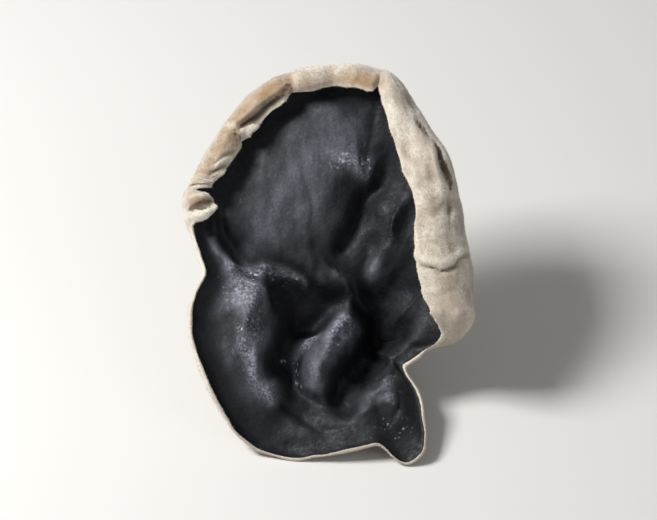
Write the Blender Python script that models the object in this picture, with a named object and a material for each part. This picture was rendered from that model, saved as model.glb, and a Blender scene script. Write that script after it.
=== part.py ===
"""A dried wood ear mushroom: one thin cap, black inside and felted outside, with a rim that has curled
over as it dried and a short foot on its back, cut off flat where it was taken from the wood.

The shape is worked out in the cap's own frame, in millimetres: x to the right and y up across the black
face, z out of the face. The cap is then leaned back, so that it lies on its lower rim and on the cut foot.
World units are metres, +Z up, and the origin is under the middle of the mushroom, on the surface that it
lies on."""

import math

import bmesh
import bpy
import numpy as np
from mathutils import Matrix, Vector

MM = 0.001

# Flesh
HUB = (3.0, -8.0)  # the point that every rib and profile runs out from
DEPTH = 5.0  # how far the hub lies behind the rim
FUNNEL = 2.0  # 1 is a straight cone, 2 a round bowl
FLESH = 1.25  # thickness in the middle
MARGIN = 0.8  # thickness at the free edge
THINNING = (0.4, 0.9)  # the flesh thins to the margin between these shares of the rows

# Lie
LEAN = 35.0  # degrees that the face is tipped up from the table, towards the viewer
TO_TABLE = (-0.76, -0.83, 22.63)  # then moved this far, to stand on the table over the origin

# Mesh: columns run out from the hub, rows round it
COLUMNS = 104
FACE_ROWS = 14
ROLL_ROWS = 8
ROW_SPREAD = 1.25  # 1 spaces the rows of the face evenly, more draws them in to the hub
CROWDED = (  # where the columns stand closer together: direction in degrees, half-width, by how much
    (141.15, 2.4, 7.0),  # the split
    (80.5, 3.5, 2.0),  # the corner
    (338.0, 16.0, 2.4),  # the hollow of the rim at the lower right
)

# The rim, counter-clockwise from the right: x and y of its outermost point, the radius of the curl, how far
# the edge has turned over in degrees (0 lies flat, 90 stands up, 180 and more is rolled over the face), and
# its height.
RIM = (
    (24.8, 1.4, 5.6, 212, -1.6),
    (23.8, 5.5, 5.5, 219, -0.4),
    (22.9, 10.6, 5.6, 222, 0.4),
    (22.2, 14.7, 5.8, 222, 0.8),
    (21.0, 18.8, 5.6, 222, 1.0),
    (18.5, 22.4, 5.2, 222, 1.4),
    (16.1, 26.4, 4.9, 222, 1.8),
    (14.2, 29.5, 4.7, 220, 2.2),
    (12.6, 32.0, 4.4, 216, 2.6),
    (11.2, 33.3, 3.6, 214, 3.0),
    (9.8, 33.9, 2.2, 218, 3.0),
    (7.7, 34.1, 2.0, 222, 2.6),
    (2.6, 34.8, 1.5, 224, 2.2),
    (-1.5, 34.6, 1.9, 228, 2.0),
    (-5.6, 33.4, 1.7, 228, 2.4),
    (-7.6, 32.9, 2.1, 236, 2.0),
    (-11.2, 30.8, 2.3, 240, 1.6),
    (-14.7, 27.6, 2.2, 240, 1.2),
    (-17.8, 23.4, 2.1, 238, 1.0),
    (-20.4, 18.8, 2.1, 236, 1.0),
    (-22.4, 14.9, 1.9, 230, 1.2),
    (-24.3, 10.4, 3.6, 224, 2.0),
    (-23.6, 7.6, 2.1, 200, 2.0),
    (-22.6, 5.2, 1.4, 120, 1.6),
    (-21.9, 3.0, 1.4, 96, 1.3),
    (-20.4, -1.1, 1.5, 92, 1.0),
    (-22.4, -4.2, 1.8, 92, 0.5),
    (-23.2, -6.7, 2.0, 92, 0.2),
    (-23.4, -11.8, 2.2, 92, 0.0),
    (-21.9, -15.9, 2.4, 94, -0.8),
    (-19.8, -21.0, 2.6, 94, -2.0),
    (-17.8, -25.1, 2.6, 88, -3.2),
    (-15.2, -29.2, 2.8, 74, -4.6),
    (-11.2, -32.0, 3.0, 60, -5.6),
    (-7.6, -33.2, 3.0, 52, -5.2),
    (-1.5, -33.5, 3.0, 48, -4.4),
    (4.6, -32.5, 3.0, 48, -3.2),
    (10.3, -30.6, 2.2, 55, -2.4),
    (14.2, -35.4, 2.4, 36, -3.9),
    (17.9, -32.2, 2.2, 56, -3.0),
    (17.6, -27.1, 2.0, 72, -4.2),
    (16.6, -21.8, 1.8, 80, -5.4),
    (13.8, -16.8, 1.7, 70, -6.2),
    (17.8, -13.6, 1.9, 92, -5.6),
    (22.8, -12.6, 3.0, 160, -3.6),
    (25.5, -9.6, 4.8, 198, -3.2),
    (25.3, -4.2, 5.5, 204, -3.2),
)
RIM_EASE = 2.6  # degrees over which one station passes into the next
FLATTENED = 0.84  # height of a curl against its width, where the rim crosses the profile squarely
OBLIQUE_EASE = 7.0  # degrees over which the slant of the rim against the profiles is evened out

# Where the curl is nipped in: x and y on the rim, half-width in degrees, degrees of curl lost and share of
# the radius lost.
NIPS = (
    (-22.7, 12.7, 1.2, 120, 0.0),  # the split in the left-hand edge
    (9.9, 33.8, 1.1, 20, 0.35),  # the corner where the top curl runs in behind the right-hand one
    (-5.6, 33.4, 1.8, 0, 0.2),  # the crossing of two wrinkles in the top curl
)

# Swellings and hollows of the face. Each runs through its points, which give x, y, height and half-width
# there. The first number is how steep its sides are: 2 is a round swell, 3 nearly a plateau.
RELIEF = (
    # the broad upper dome
    (3, ((-9.0, 8.0, 2.0, 8.0), (-4.5, 14.0, 3.2, 9.5), (-0.5, 21.0, 2.4, 8.5))),
    # the sunken middle, and its right-hand part
    (2.5, ((-3.0, -4.0, -4.0, 5.5), (4.0, -9.0, -6.5, 7.5), (2.5, -18.0, -3.4, 6.5))),
    (2.5, ((9.0, 3.0, -1.5, 4.0), (11.5, -4.0, -4.2, 4.5), (12.0, -11.0, -4.0, 4.0))),
    # the valley to the right of the dome, and the swelling beyond it
    (2, ((8.0, 19.9, -0.8, 2.2), (7.4, 14.8, -2.6, 2.5), (2.4, 10.3, -3.2, 2.7),
         (0.7, 6.5, -2.4, 2.2))),
    (2.5, ((12.9, 13.9, 0.8, 2.6), (11.7, 9.4, 2.2, 3.8), (8.9, 5.6, 3.2, 3.8), (8.6, 0.9, 3.2, 2.6),
         (9.2, -0.9, 0.8, 1.6))),
    # the fold that runs down from the dome, and the one under the right-hand curl
    (2, ((-3.5, 4.0, 0.6, 2.4), (1.0, -0.5, 1.9, 1.5), (7.0, -5.6, 0.5, 1.2))),
    (2, ((16.8, -5.3, 0.2, 2.4), (15.2, -6.2, 0.6, 2.2), (12.2, -9.1, 0.1, 1.8))),
    # the small fold at the left edge, and the crease between it and the dome
    (2, ((-19.6, 9.0, 0.4, 1.5), (-18.8, 5.0, 1.8, 1.8), (-16.4, 0.0, 0.8, 2.0))),
    (2, ((-17.4, 9.0, -0.8, 1.2), (-16.6, 4.0, -2.2, 1.3), (-13.0, 0.6, -1.0, 1.4))),
    # the ridge down the left side, its crest, and the groove inside it
    (3, ((-15.5, -1.0, 0.6, 3.0), (-13.5, -8.0, 2.2, 3.8), (-13.5, -17.0, 2.2, 4.2),
         (-10.0, -24.0, 1.0, 3.8))),
    (2, ((-12.2, -3.0, 1.0, 1.7), (-12.2, -10.0, 1.9, 2.0), (-12.4, -16.0, 1.5, 2.0),
         (-9.0, -22.0, 0.8, 1.8))),
    (2, ((-7.5, -4.1, -2.6, 3.8), (-4.6, -9.0, -4.2, 4.4), (-5.7, -15.1, -4.2, 3.8),
         (-3.6, -23.7, -2.0, 2.8))),
    # the ridge that stands in the middle, its broad left side, and the pit to its right
    (2, ((4.8, -7.1, 3.4, 2.6), (2.3, -11.9, 4.8, 3.4), (1.7, -15.9, 5.0, 3.4),
         (-0.8, -20.2, 3.2, 2.6), (-1.6, -23.6, 0.6, 2.0))),
    (2, ((1.2, -8.7, 1.4, 2.6), (-0.9, -12.8, 2.2, 3.2), (-2.2, -17.7, 1.8, 2.8),
         (-4.2, -22.9, 0.6, 2.2))),
    (3, ((10.0, -4.0, -1.0, 2.6), (9.0, -9.0, -2.8, 3.4), (6.0, -16.0, -3.2, 3.4),
         (2.8, -21.5, -1.6, 2.6))),
    # the smooth shelf at the bottom, and the hump that runs into the lobe at the lower right
    (3, ((-9.0, -28.0, 0.5, 3.4), (-1.0, -30.0, 0.8, 3.4), (6.0, -28.5, 0.5, 3.0))),
    (2, ((1.2, -25.6, 0.6, 2.6), (6.8, -23.0, 1.9, 3.4), (10.9, -20.4, 2.6, 3.6), (12.1, -24.2, 1.6, 3.4),
         (13.4, -28.7, 0.6, 2.8))),
)
SOFTER = (0.6, 2)  # a swelling shows on the back at this share of its height, with this steepness
WIDER = (1.0, 2.5)  # a hollow shows on the back this much wider, with this steepness
PLAIN_EDGE = 6.0  # the swellings and hollows die out over this distance from the curl
DRIFT = 1.3  # how far noise carries the swellings off their lines, so that none runs straight

# Ribs of the felted back, fanning out from the hub: direction in degrees, height, half-width
RIBS = (
    (12, 1.3, 1.5),
    (47, 1.6, 1.7),
    (84, 1.4, 1.6),
    (118, 1.8, 1.8),
    (152, 1.3, 1.5),
    (190, 1.6, 1.7),
    (232, 1.0, 1.6),
    (268, 0.7, 1.5),
    (305, 1.0, 1.6),
    (338, 1.2, 1.4),
)
RIB_START = 8.0  # the ribs rise to their full height over this distance from the hub
RIB_END = (0.65, 0.95)  # and die out between these shares of the way to the curl
FOOT = (1.5, -7.0)  # where the foot stands on the back
FOOT_HEIGHT = 11.5  # before it is cut
FOOT_RADIUS = 6.2
FOOT_SIDES = 4  # how steep the sides of the foot are


def bearing(x, y):
    """Direction of a point from the hub, in degrees from 0 to 360."""
    return np.degrees(np.arctan2(y - HUB[1], x - HUB[0])) % 360.0


def apart(angles, direction):
    """How many degrees these angles lie from a direction, from -180 to 180."""
    return (angles - direction + 180.0) % 360.0 - 180.0


def around(value, station_angles, angles, ease=RIM_EASE):
    """A rim value at any angle: straight between the stations, then eased round the whole turn."""
    step = 0.25
    fine = np.arange(0.0, 360.0, step)
    raw = np.interp(fine, station_angles, value, period=360.0)
    reach = np.arange(-int(4 * ease / step), int(4 * ease / step) + 1) * step
    weight = np.exp(-((reach / ease) ** 2))
    weight /= weight.sum()
    eased = np.convolve(np.concatenate([raw, raw, raw]), weight, mode="same")[len(raw) : 2 * len(raw)]
    return np.interp(angles, fine, eased, period=360.0)


def squareness(reach, station_angles, angles):
    """The cosine of how far a profile is off square to the rim that it ends at."""
    step = 1.0
    before, after = (around(reach, station_angles, angles + d, OBLIQUE_EASE) for d in (-step, step))
    change = (after - before) / np.radians(2.0 * step)
    return 1.0 / np.hypot(1.0, 2.0 * change / (after + before))


def rim_values(angles):
    """Reach from the hub, radius of the curl, turn of the edge, height of the rim and height of the curl
    against its width at these angles."""
    stations = np.array(RIM, float)
    at = bearing(stations[:, 0], stations[:, 1])
    order = np.argsort(at)
    reach_of = np.hypot(stations[:, 0] - HUB[0], stations[:, 1] - HUB[1])
    columns = [reach_of, stations[:, 2], stations[:, 3], stations[:, 4]]
    reach, curl, turn, height = (around(c[order], at[order], angles) for c in columns)
    for x, y, half_width, lost, share in NIPS:
        nip = np.exp(-((apart(angles, bearing(x, y)) / half_width) ** 2))
        turn = turn - lost * nip
        curl = curl * (1.0 - share * nip)
    flattened = FLATTENED * squareness(reach_of[order], at[order], angles)
    return reach, curl, turn, height, flattened


def column_angles(count):
    """Angles of the columns, closer together where the rim changes fast."""
    fine = np.linspace(0.0, 360.0, 3601)
    crowd = np.ones_like(fine)
    for direction, half_width, more in CROWDED:
        crowd += more * np.exp(-((apart(fine, direction) / half_width) ** 2))
    filled = np.concatenate([[0.0], np.cumsum((crowd[1:] + crowd[:-1]) / 2)])
    return np.interp(np.arange(count) / count * filled[-1], filled, fine)


def crest(x, y, steepness, points, wider=0.0):
    """Height of one swelling or hollow: full along its line, falling away smoothly to each side."""
    best = np.zeros(np.shape(x))
    for (x1, y1, h1, w1), (x2, y2, h2, w2) in zip(points, points[1:]):
        dx, dy = x2 - x1, y2 - y1
        along = np.clip(((x - x1) * dx + (y - y1) * dy) / (dx * dx + dy * dy), 0.0, 1.0)
        away = np.hypot(x - x1 - along * dx, y - y1 - along * dy)
        rise = h1 + (h2 - h1) * along
        value = rise * np.exp(-((away / (w1 + (w2 - w1) * along + wider)) ** steepness))
        best = np.where(np.abs(value) > np.abs(best), value, best)
    return best


def drift(x, y):
    """Moves points a little to and fro, smoothly, so that what is drawn at them wanders."""
    dx = 0.65 * np.sin(0.37 * y + 0.21 * x + 1.3) + 0.35 * np.sin(0.83 * x - 0.55 * y + 0.4)
    dy = 0.65 * np.sin(0.41 * x - 0.17 * y + 2.1) + 0.35 * np.sin(0.71 * y + 0.62 * x + 3.3)
    return x + DRIFT * dx, y + DRIFT * dy


def skin_height(x, y, share, inward, height, of_back):
    """Height of a skin. share is 0 at the hub and 1 where the rim starts to curl, and inward is how far in
    from there the point lies. The back's swellings are softer and its hollows wider than the face's, so
    that the flesh between them is whole."""
    z = -DEPTH * (1.0 - share**FUNNEL) + height * share**2
    fade = np.clip(inward / PLAIN_EDGE, 0.0, 1.0)
    fade = fade * fade * (3.0 - 2.0 * fade)
    x, y = drift(x, y)
    for steepness, points in RELIEF:
        if of_back and points[1][2] > 0:
            z = z + SOFTER[0] * crest(x, y, SOFTER[1], points) * fade
        elif of_back:
            z = z + crest(x, y, WIDER[1], points, wider=WIDER[0]) * fade
        else:
            z = z + crest(x, y, steepness, points) * fade
    return z


def row_shares(face_rows):
    """How far out the rows of the face stand, from 0 at the hub to 1 at the curl."""
    return np.linspace(0.0, 1.0, face_rows + 1) ** ROW_SPREAD


def skin(angles, face_rows, roll_rows, of_back=False):
    """A skin as rows of distance from the hub and of height, from the hub out to the free edge. The slope
    at which the curl takes over from the face depends on where it starts, so both are found in turns."""
    reach, curl, turn, height, flattened = rim_values(angles)
    turn = np.radians(turn)
    cos, sin = np.cos(np.radians(angles)), np.sin(np.radians(angles))

    def at(share):
        u, ones = foot * share, np.ones(len(angles))
        return skin_height(HUB[0] + u * cos, HUB[1] + u * sin, share * ones, foot - u, height, of_back)

    slope = np.full(len(angles), 0.5)
    for _ in range(8):
        foot = reach - MARGIN - curl * (1.0 - np.sin(slope))
        slope = np.arctan2(at(1.0) - at(0.96), foot * 0.04)
    rows = [(foot * share, at(share)) for share in row_shares(face_rows)]
    u0, z0 = rows[-1]
    for i in range(1, roll_rows + 1):
        heading = slope + (turn - slope) * i / roll_rows
        u = u0 + curl * (np.sin(heading) - np.sin(slope))
        z = z0 + flattened * curl * (np.cos(slope) - np.cos(heading))
        rows.append((u, z))
    return np.array([u for u, _ in rows]), np.array([z for _, z in rows])


def below(u, z, thick):
    """The rows of a skin moved behind it by the thickness of the flesh, within each profile."""
    du, dz = np.gradient(u, axis=0), np.gradient(z, axis=0)
    length = np.hypot(du, dz)
    return u + thick * dz / length, z - thick * du / length


def to_points(u, z, angles):
    """Points of a skin from its distances from the hub and heights."""
    a = np.radians(angles)[None, :]
    return np.stack([HUB[0] + u * np.cos(a), HUB[1] + u * np.sin(a), z], axis=2)


def back_growth(points, share):
    """How far the ribs and the foot stand out of the back."""
    x, y = points[:, :, 0], points[:, :, 1]
    foot = FOOT_HEIGHT * np.exp(-((np.hypot(x - FOOT[0], y - FOOT[1]) / FOOT_RADIUS) ** FOOT_SIDES))
    x, y = drift(x, y)
    out = np.hypot(x - HUB[0], y - HUB[1])
    fade = np.clip(out / RIB_START, 0.0, 1.0)
    fade = fade * np.clip((RIB_END[1] - share) / (RIB_END[1] - RIB_END[0]), 0.0, 1.0)
    growth = np.zeros_like(out)
    for direction, rise, half_width in RIBS:
        off = np.radians(apart(bearing(x, y), direction))
        away = out * np.sin(np.clip(off, -1.5, 1.5))
        growth += rise * fade * np.exp(-((away / half_width) ** 2)) * (np.abs(off) < 1.5)
    return growth + foot


def skins(columns, face_rows, roll_rows):
    """Points of the black face and of the felted back, row by row from the hub out."""
    angles = column_angles(columns)
    share = np.concatenate([row_shares(face_rows), np.full(roll_rows, 1.0)])[:, None]
    u, z = skin(angles, face_rows, roll_rows)
    front = to_points(u, z, angles)
    u, z = skin(angles, face_rows, roll_rows, of_back=True)
    rows = np.arange(len(u))[:, None] / (len(u) - 1)
    thinned = np.clip((rows - THINNING[0]) / (THINNING[1] - THINNING[0]), 0.0, 1.0)
    thick = FLESH + (MARGIN - FLESH) * thinned
    back = to_points(*below(u, z, thick), angles)
    back[0] = back[0].mean(axis=0)
    back[:, :, 2] -= back_growth(back, share)
    return front, back


def sheet(mesh, points, material, flip):
    """Adds one skin to the mesh, closed at the hub, and returns the edges of its free rim."""
    count = points.shape[1]
    hub = mesh.verts.new(points[0].mean(axis=0))
    rings = [[mesh.verts.new(p) for p in row] for row in points[1:]]
    faces = []
    for i in range(count):
        j = (i + 1) % count
        faces.append((hub, rings[0][i], rings[0][j]))
        faces += [(inner[i], outer[i], outer[j], inner[j]) for inner, outer in zip(rings, rings[1:])]
    for corners in faces:
        face = mesh.faces.new(corners[::-1] if flip else corners)
        face.material_index = material
        face.smooth = True
    return [mesh.edges.get((rings[-1][i], rings[-1][(i + 1) % count])) for i in range(count)]


def lay_down(mesh):
    """Leans the cap back, sets its lower rim on the table and turns it to metres."""
    lean = Matrix.Rotation(math.radians(LEAN), 4, "X")
    move = Matrix.Translation(Vector(TO_TABLE))
    bmesh.ops.transform(mesh, matrix=Matrix.Scale(MM, 4) @ move @ lean, verts=mesh.verts)


def cut_foot(mesh):
    """Cuts the foot off flat, in the plane of the table."""
    geometry = mesh.verts[:] + mesh.edges[:] + mesh.faces[:]
    cut = bmesh.ops.bisect_plane(
        mesh, geom=geometry, dist=1e-7, plane_co=(0, 0, 0), plane_no=(0, 0, -1), clear_outer=True
    )
    edges = [e for e in cut["geom_cut"] if isinstance(e, bmesh.types.BMEdge)]
    filled = bmesh.ops.holes_fill(mesh, edges=edges)
    for face in filled["faces"]:
        face.material_index = 1


def finish(name, colour, roughness):
    """A plain material of that colour."""
    material = bpy.data.materials.new(name)
    material.use_nodes = True
    shader = material.node_tree.nodes["Principled BSDF"]
    shader.inputs["Base Color"].default_value = (*colour, 1.0)
    shader.inputs["Roughness"].default_value = roughness
    shader.inputs["Metallic"].default_value = 0.0
    return material


def wood_ear():
    """The mushroom, one solid from the black face to the felted back."""
    mesh = bmesh.new()
    front, back = skins(COLUMNS, FACE_ROWS, ROLL_ROWS)
    rims = sheet(mesh, front, 0, flip=False) + sheet(mesh, back, 1, flip=True)
    margin = bmesh.ops.bridge_loops(mesh, edges=rims)
    for face in margin["faces"]:
        face.material_index = 1
        face.smooth = True
    lay_down(mesh)
    cut_foot(mesh)
    data = bpy.data.meshes.new("wood_ear")
    mesh.to_mesh(data)
    mesh.free()
    data.materials.append(finish("black_face", (0.018, 0.019, 0.022), 0.55))
    data.materials.append(finish("felt_back", (0.42, 0.37, 0.30), 0.9))
    obj = bpy.data.objects.new("wood_ear", data)
    bpy.context.scene.collection.objects.link(obj)


def main():
    for obj in list(bpy.data.objects):
        bpy.data.objects.remove(obj)
    wood_ear()


main()
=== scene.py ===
"""Dresses a dried wood ear mushroom: the fine skin of the cap with its wrinkles and veins, the short felt
that grows on its back, a pale floor, soft studio light and a camera.

The cap's own frame is in millimetres: x to the right and y up across the black face, z out of the face. The
cap is then leaned back and set down, as its solid is."""

import math

import bmesh
import bpy
import numpy as np
from bpy.props import FloatProperty, FloatVectorProperty, IntProperty, PointerProperty
from bpy.types import Operator, Panel, PropertyGroup
from mathutils import Matrix, Vector


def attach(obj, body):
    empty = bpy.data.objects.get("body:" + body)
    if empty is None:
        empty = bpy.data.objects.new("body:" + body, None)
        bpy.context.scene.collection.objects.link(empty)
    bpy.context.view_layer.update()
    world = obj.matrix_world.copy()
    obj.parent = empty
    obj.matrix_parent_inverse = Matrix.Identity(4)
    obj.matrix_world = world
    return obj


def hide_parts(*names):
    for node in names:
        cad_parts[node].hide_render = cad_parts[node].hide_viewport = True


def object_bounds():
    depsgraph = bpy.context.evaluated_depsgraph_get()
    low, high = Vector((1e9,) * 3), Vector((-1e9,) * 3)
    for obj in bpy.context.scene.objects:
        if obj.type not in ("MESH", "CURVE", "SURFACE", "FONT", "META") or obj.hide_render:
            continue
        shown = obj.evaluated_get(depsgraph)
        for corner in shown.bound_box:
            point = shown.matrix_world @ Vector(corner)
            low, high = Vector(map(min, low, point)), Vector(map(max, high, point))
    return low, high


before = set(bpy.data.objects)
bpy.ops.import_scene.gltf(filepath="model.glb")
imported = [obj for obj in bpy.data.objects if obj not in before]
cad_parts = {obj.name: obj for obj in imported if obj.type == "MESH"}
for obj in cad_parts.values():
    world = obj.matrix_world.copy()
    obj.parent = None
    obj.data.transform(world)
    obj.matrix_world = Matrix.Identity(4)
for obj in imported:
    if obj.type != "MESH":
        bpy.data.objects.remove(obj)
SOLID_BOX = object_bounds()

bl_info = {
    "name": "Dried wood ear mushroom",
    "version": (1, 0, 0),
    "blender": (4, 5, 0),
    "location": "3D View > Sidebar > Wood ear",
    "description": "Builds the skin and felt of a dried wood ear mushroom, with a floor, lights and a camera",
    "category": "Add Mesh",
}

MM = 0.001

# Flesh
HUB = (3.0, -8.0)  # the point that every rib and profile runs out from
DEPTH = 5.0  # how far the hub lies behind the rim
FUNNEL = 2.0  # 1 is a straight cone, 2 a round bowl
FLESH = 1.25  # thickness in the middle
MARGIN = 0.8  # thickness at the free edge
THINNING = (0.4, 0.9)  # the flesh thins to the margin between these shares of the rows

# Lie
LEAN = 35.0  # degrees that the face is tipped up from the table, towards the viewer
TO_TABLE = (-0.76, -0.83, 22.63)  # then moved this far, to stand on the table over the origin

# Mesh: columns run out from the hub, rows round it
COLUMNS = 436
FACE_ROWS = 62  # from the hub out to where the curl starts
ROLL_ROWS = 46  # from there round to the free edge
MARGIN_ROWS = 3  # round the margin, between the two skins
FACE_SHARES = np.linspace(0.0, 1.0, FACE_ROWS + 1)  # how far out each row of the face stands
CROWDED = (  # where the columns stand closer together: direction in degrees, half-width, by how much
    (141.15, 2.0, 11.0),  # the split
    (80.5, 3.5, 2.0),  # the corner
    (338.0, 16.0, 2.4),  # the hollow of the rim at the lower right
)

# The rim, counter-clockwise from the right: x and y of its outermost point, the radius of the curl, how far
# the edge has turned over in degrees (0 lies flat, 90 stands up, 180 and more is rolled over the face), and
# its height.
RIM = (
    (24.8, 1.4, 5.6, 212, -1.6),
    (23.8, 5.5, 5.5, 219, -0.4),
    (22.9, 10.6, 5.6, 222, 0.4),
    (22.2, 14.7, 5.8, 222, 0.8),
    (21.0, 18.8, 5.6, 222, 1.0),
    (18.5, 22.4, 5.2, 222, 1.4),
    (16.1, 26.4, 4.9, 222, 1.8),
    (14.2, 29.5, 4.7, 220, 2.2),
    (12.6, 32.0, 4.4, 216, 2.6),
    (11.2, 33.3, 3.6, 214, 3.0),
    (9.8, 33.9, 2.2, 218, 3.0),
    (7.7, 34.1, 2.0, 222, 2.6),
    (2.6, 34.8, 1.5, 224, 2.2),
    (-1.5, 34.6, 1.9, 228, 2.0),
    (-5.6, 33.4, 1.7, 228, 2.4),
    (-7.6, 32.9, 2.1, 236, 2.0),
    (-11.2, 30.8, 2.3, 240, 1.6),
    (-14.7, 27.6, 2.2, 240, 1.2),
    (-17.8, 23.4, 2.1, 238, 1.0),
    (-20.4, 18.8, 2.1, 236, 1.0),
    (-22.4, 14.9, 1.9, 230, 1.2),
    (-24.3, 10.4, 3.6, 224, 2.0),
    (-23.6, 7.6, 2.1, 200, 2.0),
    (-22.6, 5.2, 1.4, 120, 1.6),
    (-21.9, 3.0, 1.4, 96, 1.3),
    (-20.4, -1.1, 1.5, 92, 1.0),
    (-22.4, -4.2, 1.8, 92, 0.5),
    (-23.2, -6.7, 2.0, 92, 0.2),
    (-23.4, -11.8, 2.2, 92, 0.0),
    (-21.9, -15.9, 2.4, 94, -0.8),
    (-19.8, -21.0, 2.6, 94, -2.0),
    (-17.8, -25.1, 2.6, 88, -3.2),
    (-15.2, -29.2, 2.8, 74, -4.6),
    (-11.2, -32.0, 3.0, 60, -5.6),
    (-7.6, -33.2, 3.0, 52, -5.2),
    (-1.5, -33.5, 3.0, 48, -4.4),
    (4.6, -32.5, 3.0, 48, -3.2),
    (10.3, -30.6, 2.2, 55, -2.4),
    (14.2, -35.4, 2.4, 36, -3.9),
    (17.9, -32.2, 2.2, 56, -3.0),
    (17.6, -27.1, 2.0, 72, -4.2),
    (16.6, -21.8, 1.8, 80, -5.4),
    (13.8, -16.8, 1.7, 70, -6.2),
    (17.8, -13.6, 1.9, 92, -5.6),
    (22.8, -12.6, 3.0, 160, -3.6),
    (25.5, -9.6, 4.8, 198, -3.2),
    (25.3, -4.2, 5.5, 204, -3.2),
)
RIM_EASE = 2.6  # degrees over which one station passes into the next
FLATTENED = 0.84  # height of a curl against its width, where the rim crosses the profile squarely
OBLIQUE_EASE = 7.0  # degrees over which the slant of the rim against the profiles is evened out
SLOPE_TURNS, SLOPE_START = 8, 0.5  # turns in which a curl's slope is found, and the slope they start from
SLOPE_SPAN = 0.04  # share of a profile over which that slope is taken

# Where the curl is nipped in: x and y on the rim, half-width in degrees, degrees of curl lost and share of
# the radius lost.
NIPS = (
    (-22.7, 12.7, 0.5, 125, 0.0),  # the split in the left-hand edge
    (-23.2, 7.2, 2.6, 45, 0.0),  # the lower end of the small curl under it
    (9.9, 33.8, 1.1, 20, 0.35),  # the corner where the top curl runs in behind the right-hand one
    (-5.6, 33.4, 1.8, 0, 0.2),  # the crossing of two wrinkles in the top curl
)

# Beside the split the curl is swept upwards, the more the further it has come in over the face, so that the
# split runs level and opens inwards
SPLIT_SWEEP = (0.60, 0.25)  # how far it is swept above and under the split, for each mm that it has come in
SWEEP_REACH = 8.0  # degrees on each side of the split that are swept along
SWEEP_EASE = 0.5  # degrees over which one side of the split passes into the other

# Swellings and hollows of the face. Each runs through its points, which give x, y, height and half-width
# there. The first number is how steep its sides are: 2 is a round swell, 3 nearly a plateau. The lists of
# folds, of bloom and painted light, of specks and glints, of painted shade in dents, of tan and of painted
# highlights below are given in the same way.
RELIEF = (
    # the broad upper dome
    (3, ((-9.0, 8.0, 2.0, 8.0), (-4.5, 14.0, 3.2, 9.5), (-0.5, 21.0, 2.4, 8.5))),
    # the sunken middle, and its right-hand part
    (2.5, ((-3.0, -4.0, -4.0, 5.5), (4.0, -9.0, -6.5, 7.5), (2.5, -18.0, -3.4, 6.5))),
    (2.5, ((9.0, 3.0, -1.5, 4.0), (11.5, -4.0, -4.2, 4.5), (12.0, -11.0, -4.0, 4.0))),
    # the valley to the right of the dome, and the swelling beyond it
    (2, ((9.8, 19.9, -0.8, 2.2), (9.9, 14.8, -2.6, 2.5), (5.2, 10.3, -3.2, 2.7),
         (3.4, 6.5, -2.4, 2.2))),
    (2.5, ((13.9, 13.9, 0.8, 2.4), (12.6, 9.4, 2.2, 2.7), (10.3, 5.6, 3.2, 2.8), (9.1, 0.9, 3.2, 2.1),
         (9.2, -0.9, 0.8, 1.5))),
    # the fold that runs down from the dome, and the one under the right-hand curl
    (2, ((-3.5, 4.0, 0.6, 2.4), (1.0, -0.5, 1.9, 1.5), (7.0, -5.6, 0.5, 1.2))),
    (2, ((16.8, -5.3, 0.2, 2.4), (15.2, -6.2, 0.6, 2.2), (12.2, -9.1, 0.1, 1.8))),
    # the small fold at the left edge, and the crease between it and the dome
    (2, ((-19.6, 9.0, 0.4, 1.5), (-18.8, 5.0, 1.8, 1.8), (-16.4, 0.0, 0.8, 2.0))),
    (2, ((-17.4, 9.0, -0.8, 1.2), (-16.6, 4.0, -2.2, 1.3), (-13.0, 0.6, -1.0, 1.4))),
    # the ridge down the left side, its crest, and the groove inside it
    (3, ((-15.5, -1.0, 0.6, 3.0), (-13.5, -8.0, 2.2, 3.8), (-13.5, -17.0, 2.2, 4.2),
         (-10.0, -24.0, 1.0, 3.8))),
    (2, ((-12.2, -3.0, 1.0, 1.7), (-12.2, -10.0, 1.9, 2.0), (-12.4, -16.0, 1.5, 2.0),
         (-9.0, -22.0, 0.8, 1.8))),
    (2, ((-7.5, -4.1, -2.6, 3.8), (-4.6, -9.0, -4.2, 4.4), (-5.7, -15.1, -4.2, 3.8),
         (-3.6, -23.7, -2.0, 2.8))),
    # the ridge that stands in the middle, its broad left side, and the pit to its right
    (2, ((4.8, -7.1, 3.4, 2.6), (2.3, -11.9, 4.8, 3.4), (1.7, -15.9, 5.0, 3.4),
         (-0.8, -20.2, 3.2, 2.6), (-1.6, -23.6, 0.6, 2.0))),
    (2, ((1.2, -8.7, 1.4, 2.6), (-0.9, -12.8, 2.2, 3.2), (-2.2, -17.7, 1.8, 2.8),
         (-4.2, -22.9, 0.6, 2.2))),
    (3, ((10.0, -4.0, -1.0, 2.6), (9.0, -9.0, -2.8, 3.4), (6.0, -16.0, -3.2, 3.4),
         (2.8, -21.5, -1.6, 2.6))),
    # the smooth shelf at the bottom, and the hump that runs into the lobe at the lower right
    (3, ((-9.0, -28.0, 0.5, 3.4), (-1.0, -30.0, 0.8, 3.4), (6.0, -28.5, 0.5, 3.0))),
    (2, ((1.2, -25.6, 0.6, 2.6), (6.8, -23.0, 1.9, 3.4), (10.9, -20.4, 2.6, 3.6), (12.1, -24.2, 1.6, 3.4),
         (13.4, -28.7, 0.6, 2.8))),
)
SOFTER = (0.6, 2)  # a swelling shows on the back at this share of its height, with this steepness
WIDER = (1.0, 2.5)  # a hollow shows on the back this much wider, with this steepness
PLAIN_EDGE = 6.0  # the swellings and hollows die out over this distance from the curl
DRIFT = 1.3  # how far everything in these lists is carried off its line, so that none runs straight
DRIFT_WAVES = (  # its waves across and up: share of it, radians for each mm across and up, and their start
    ((0.65, 0.21, 0.37, 1.3), (0.35, 0.83, -0.55, 0.4)),
    ((0.65, 0.41, -0.17, 2.1), (0.35, 0.62, 0.71, 3.3)),
)

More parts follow.
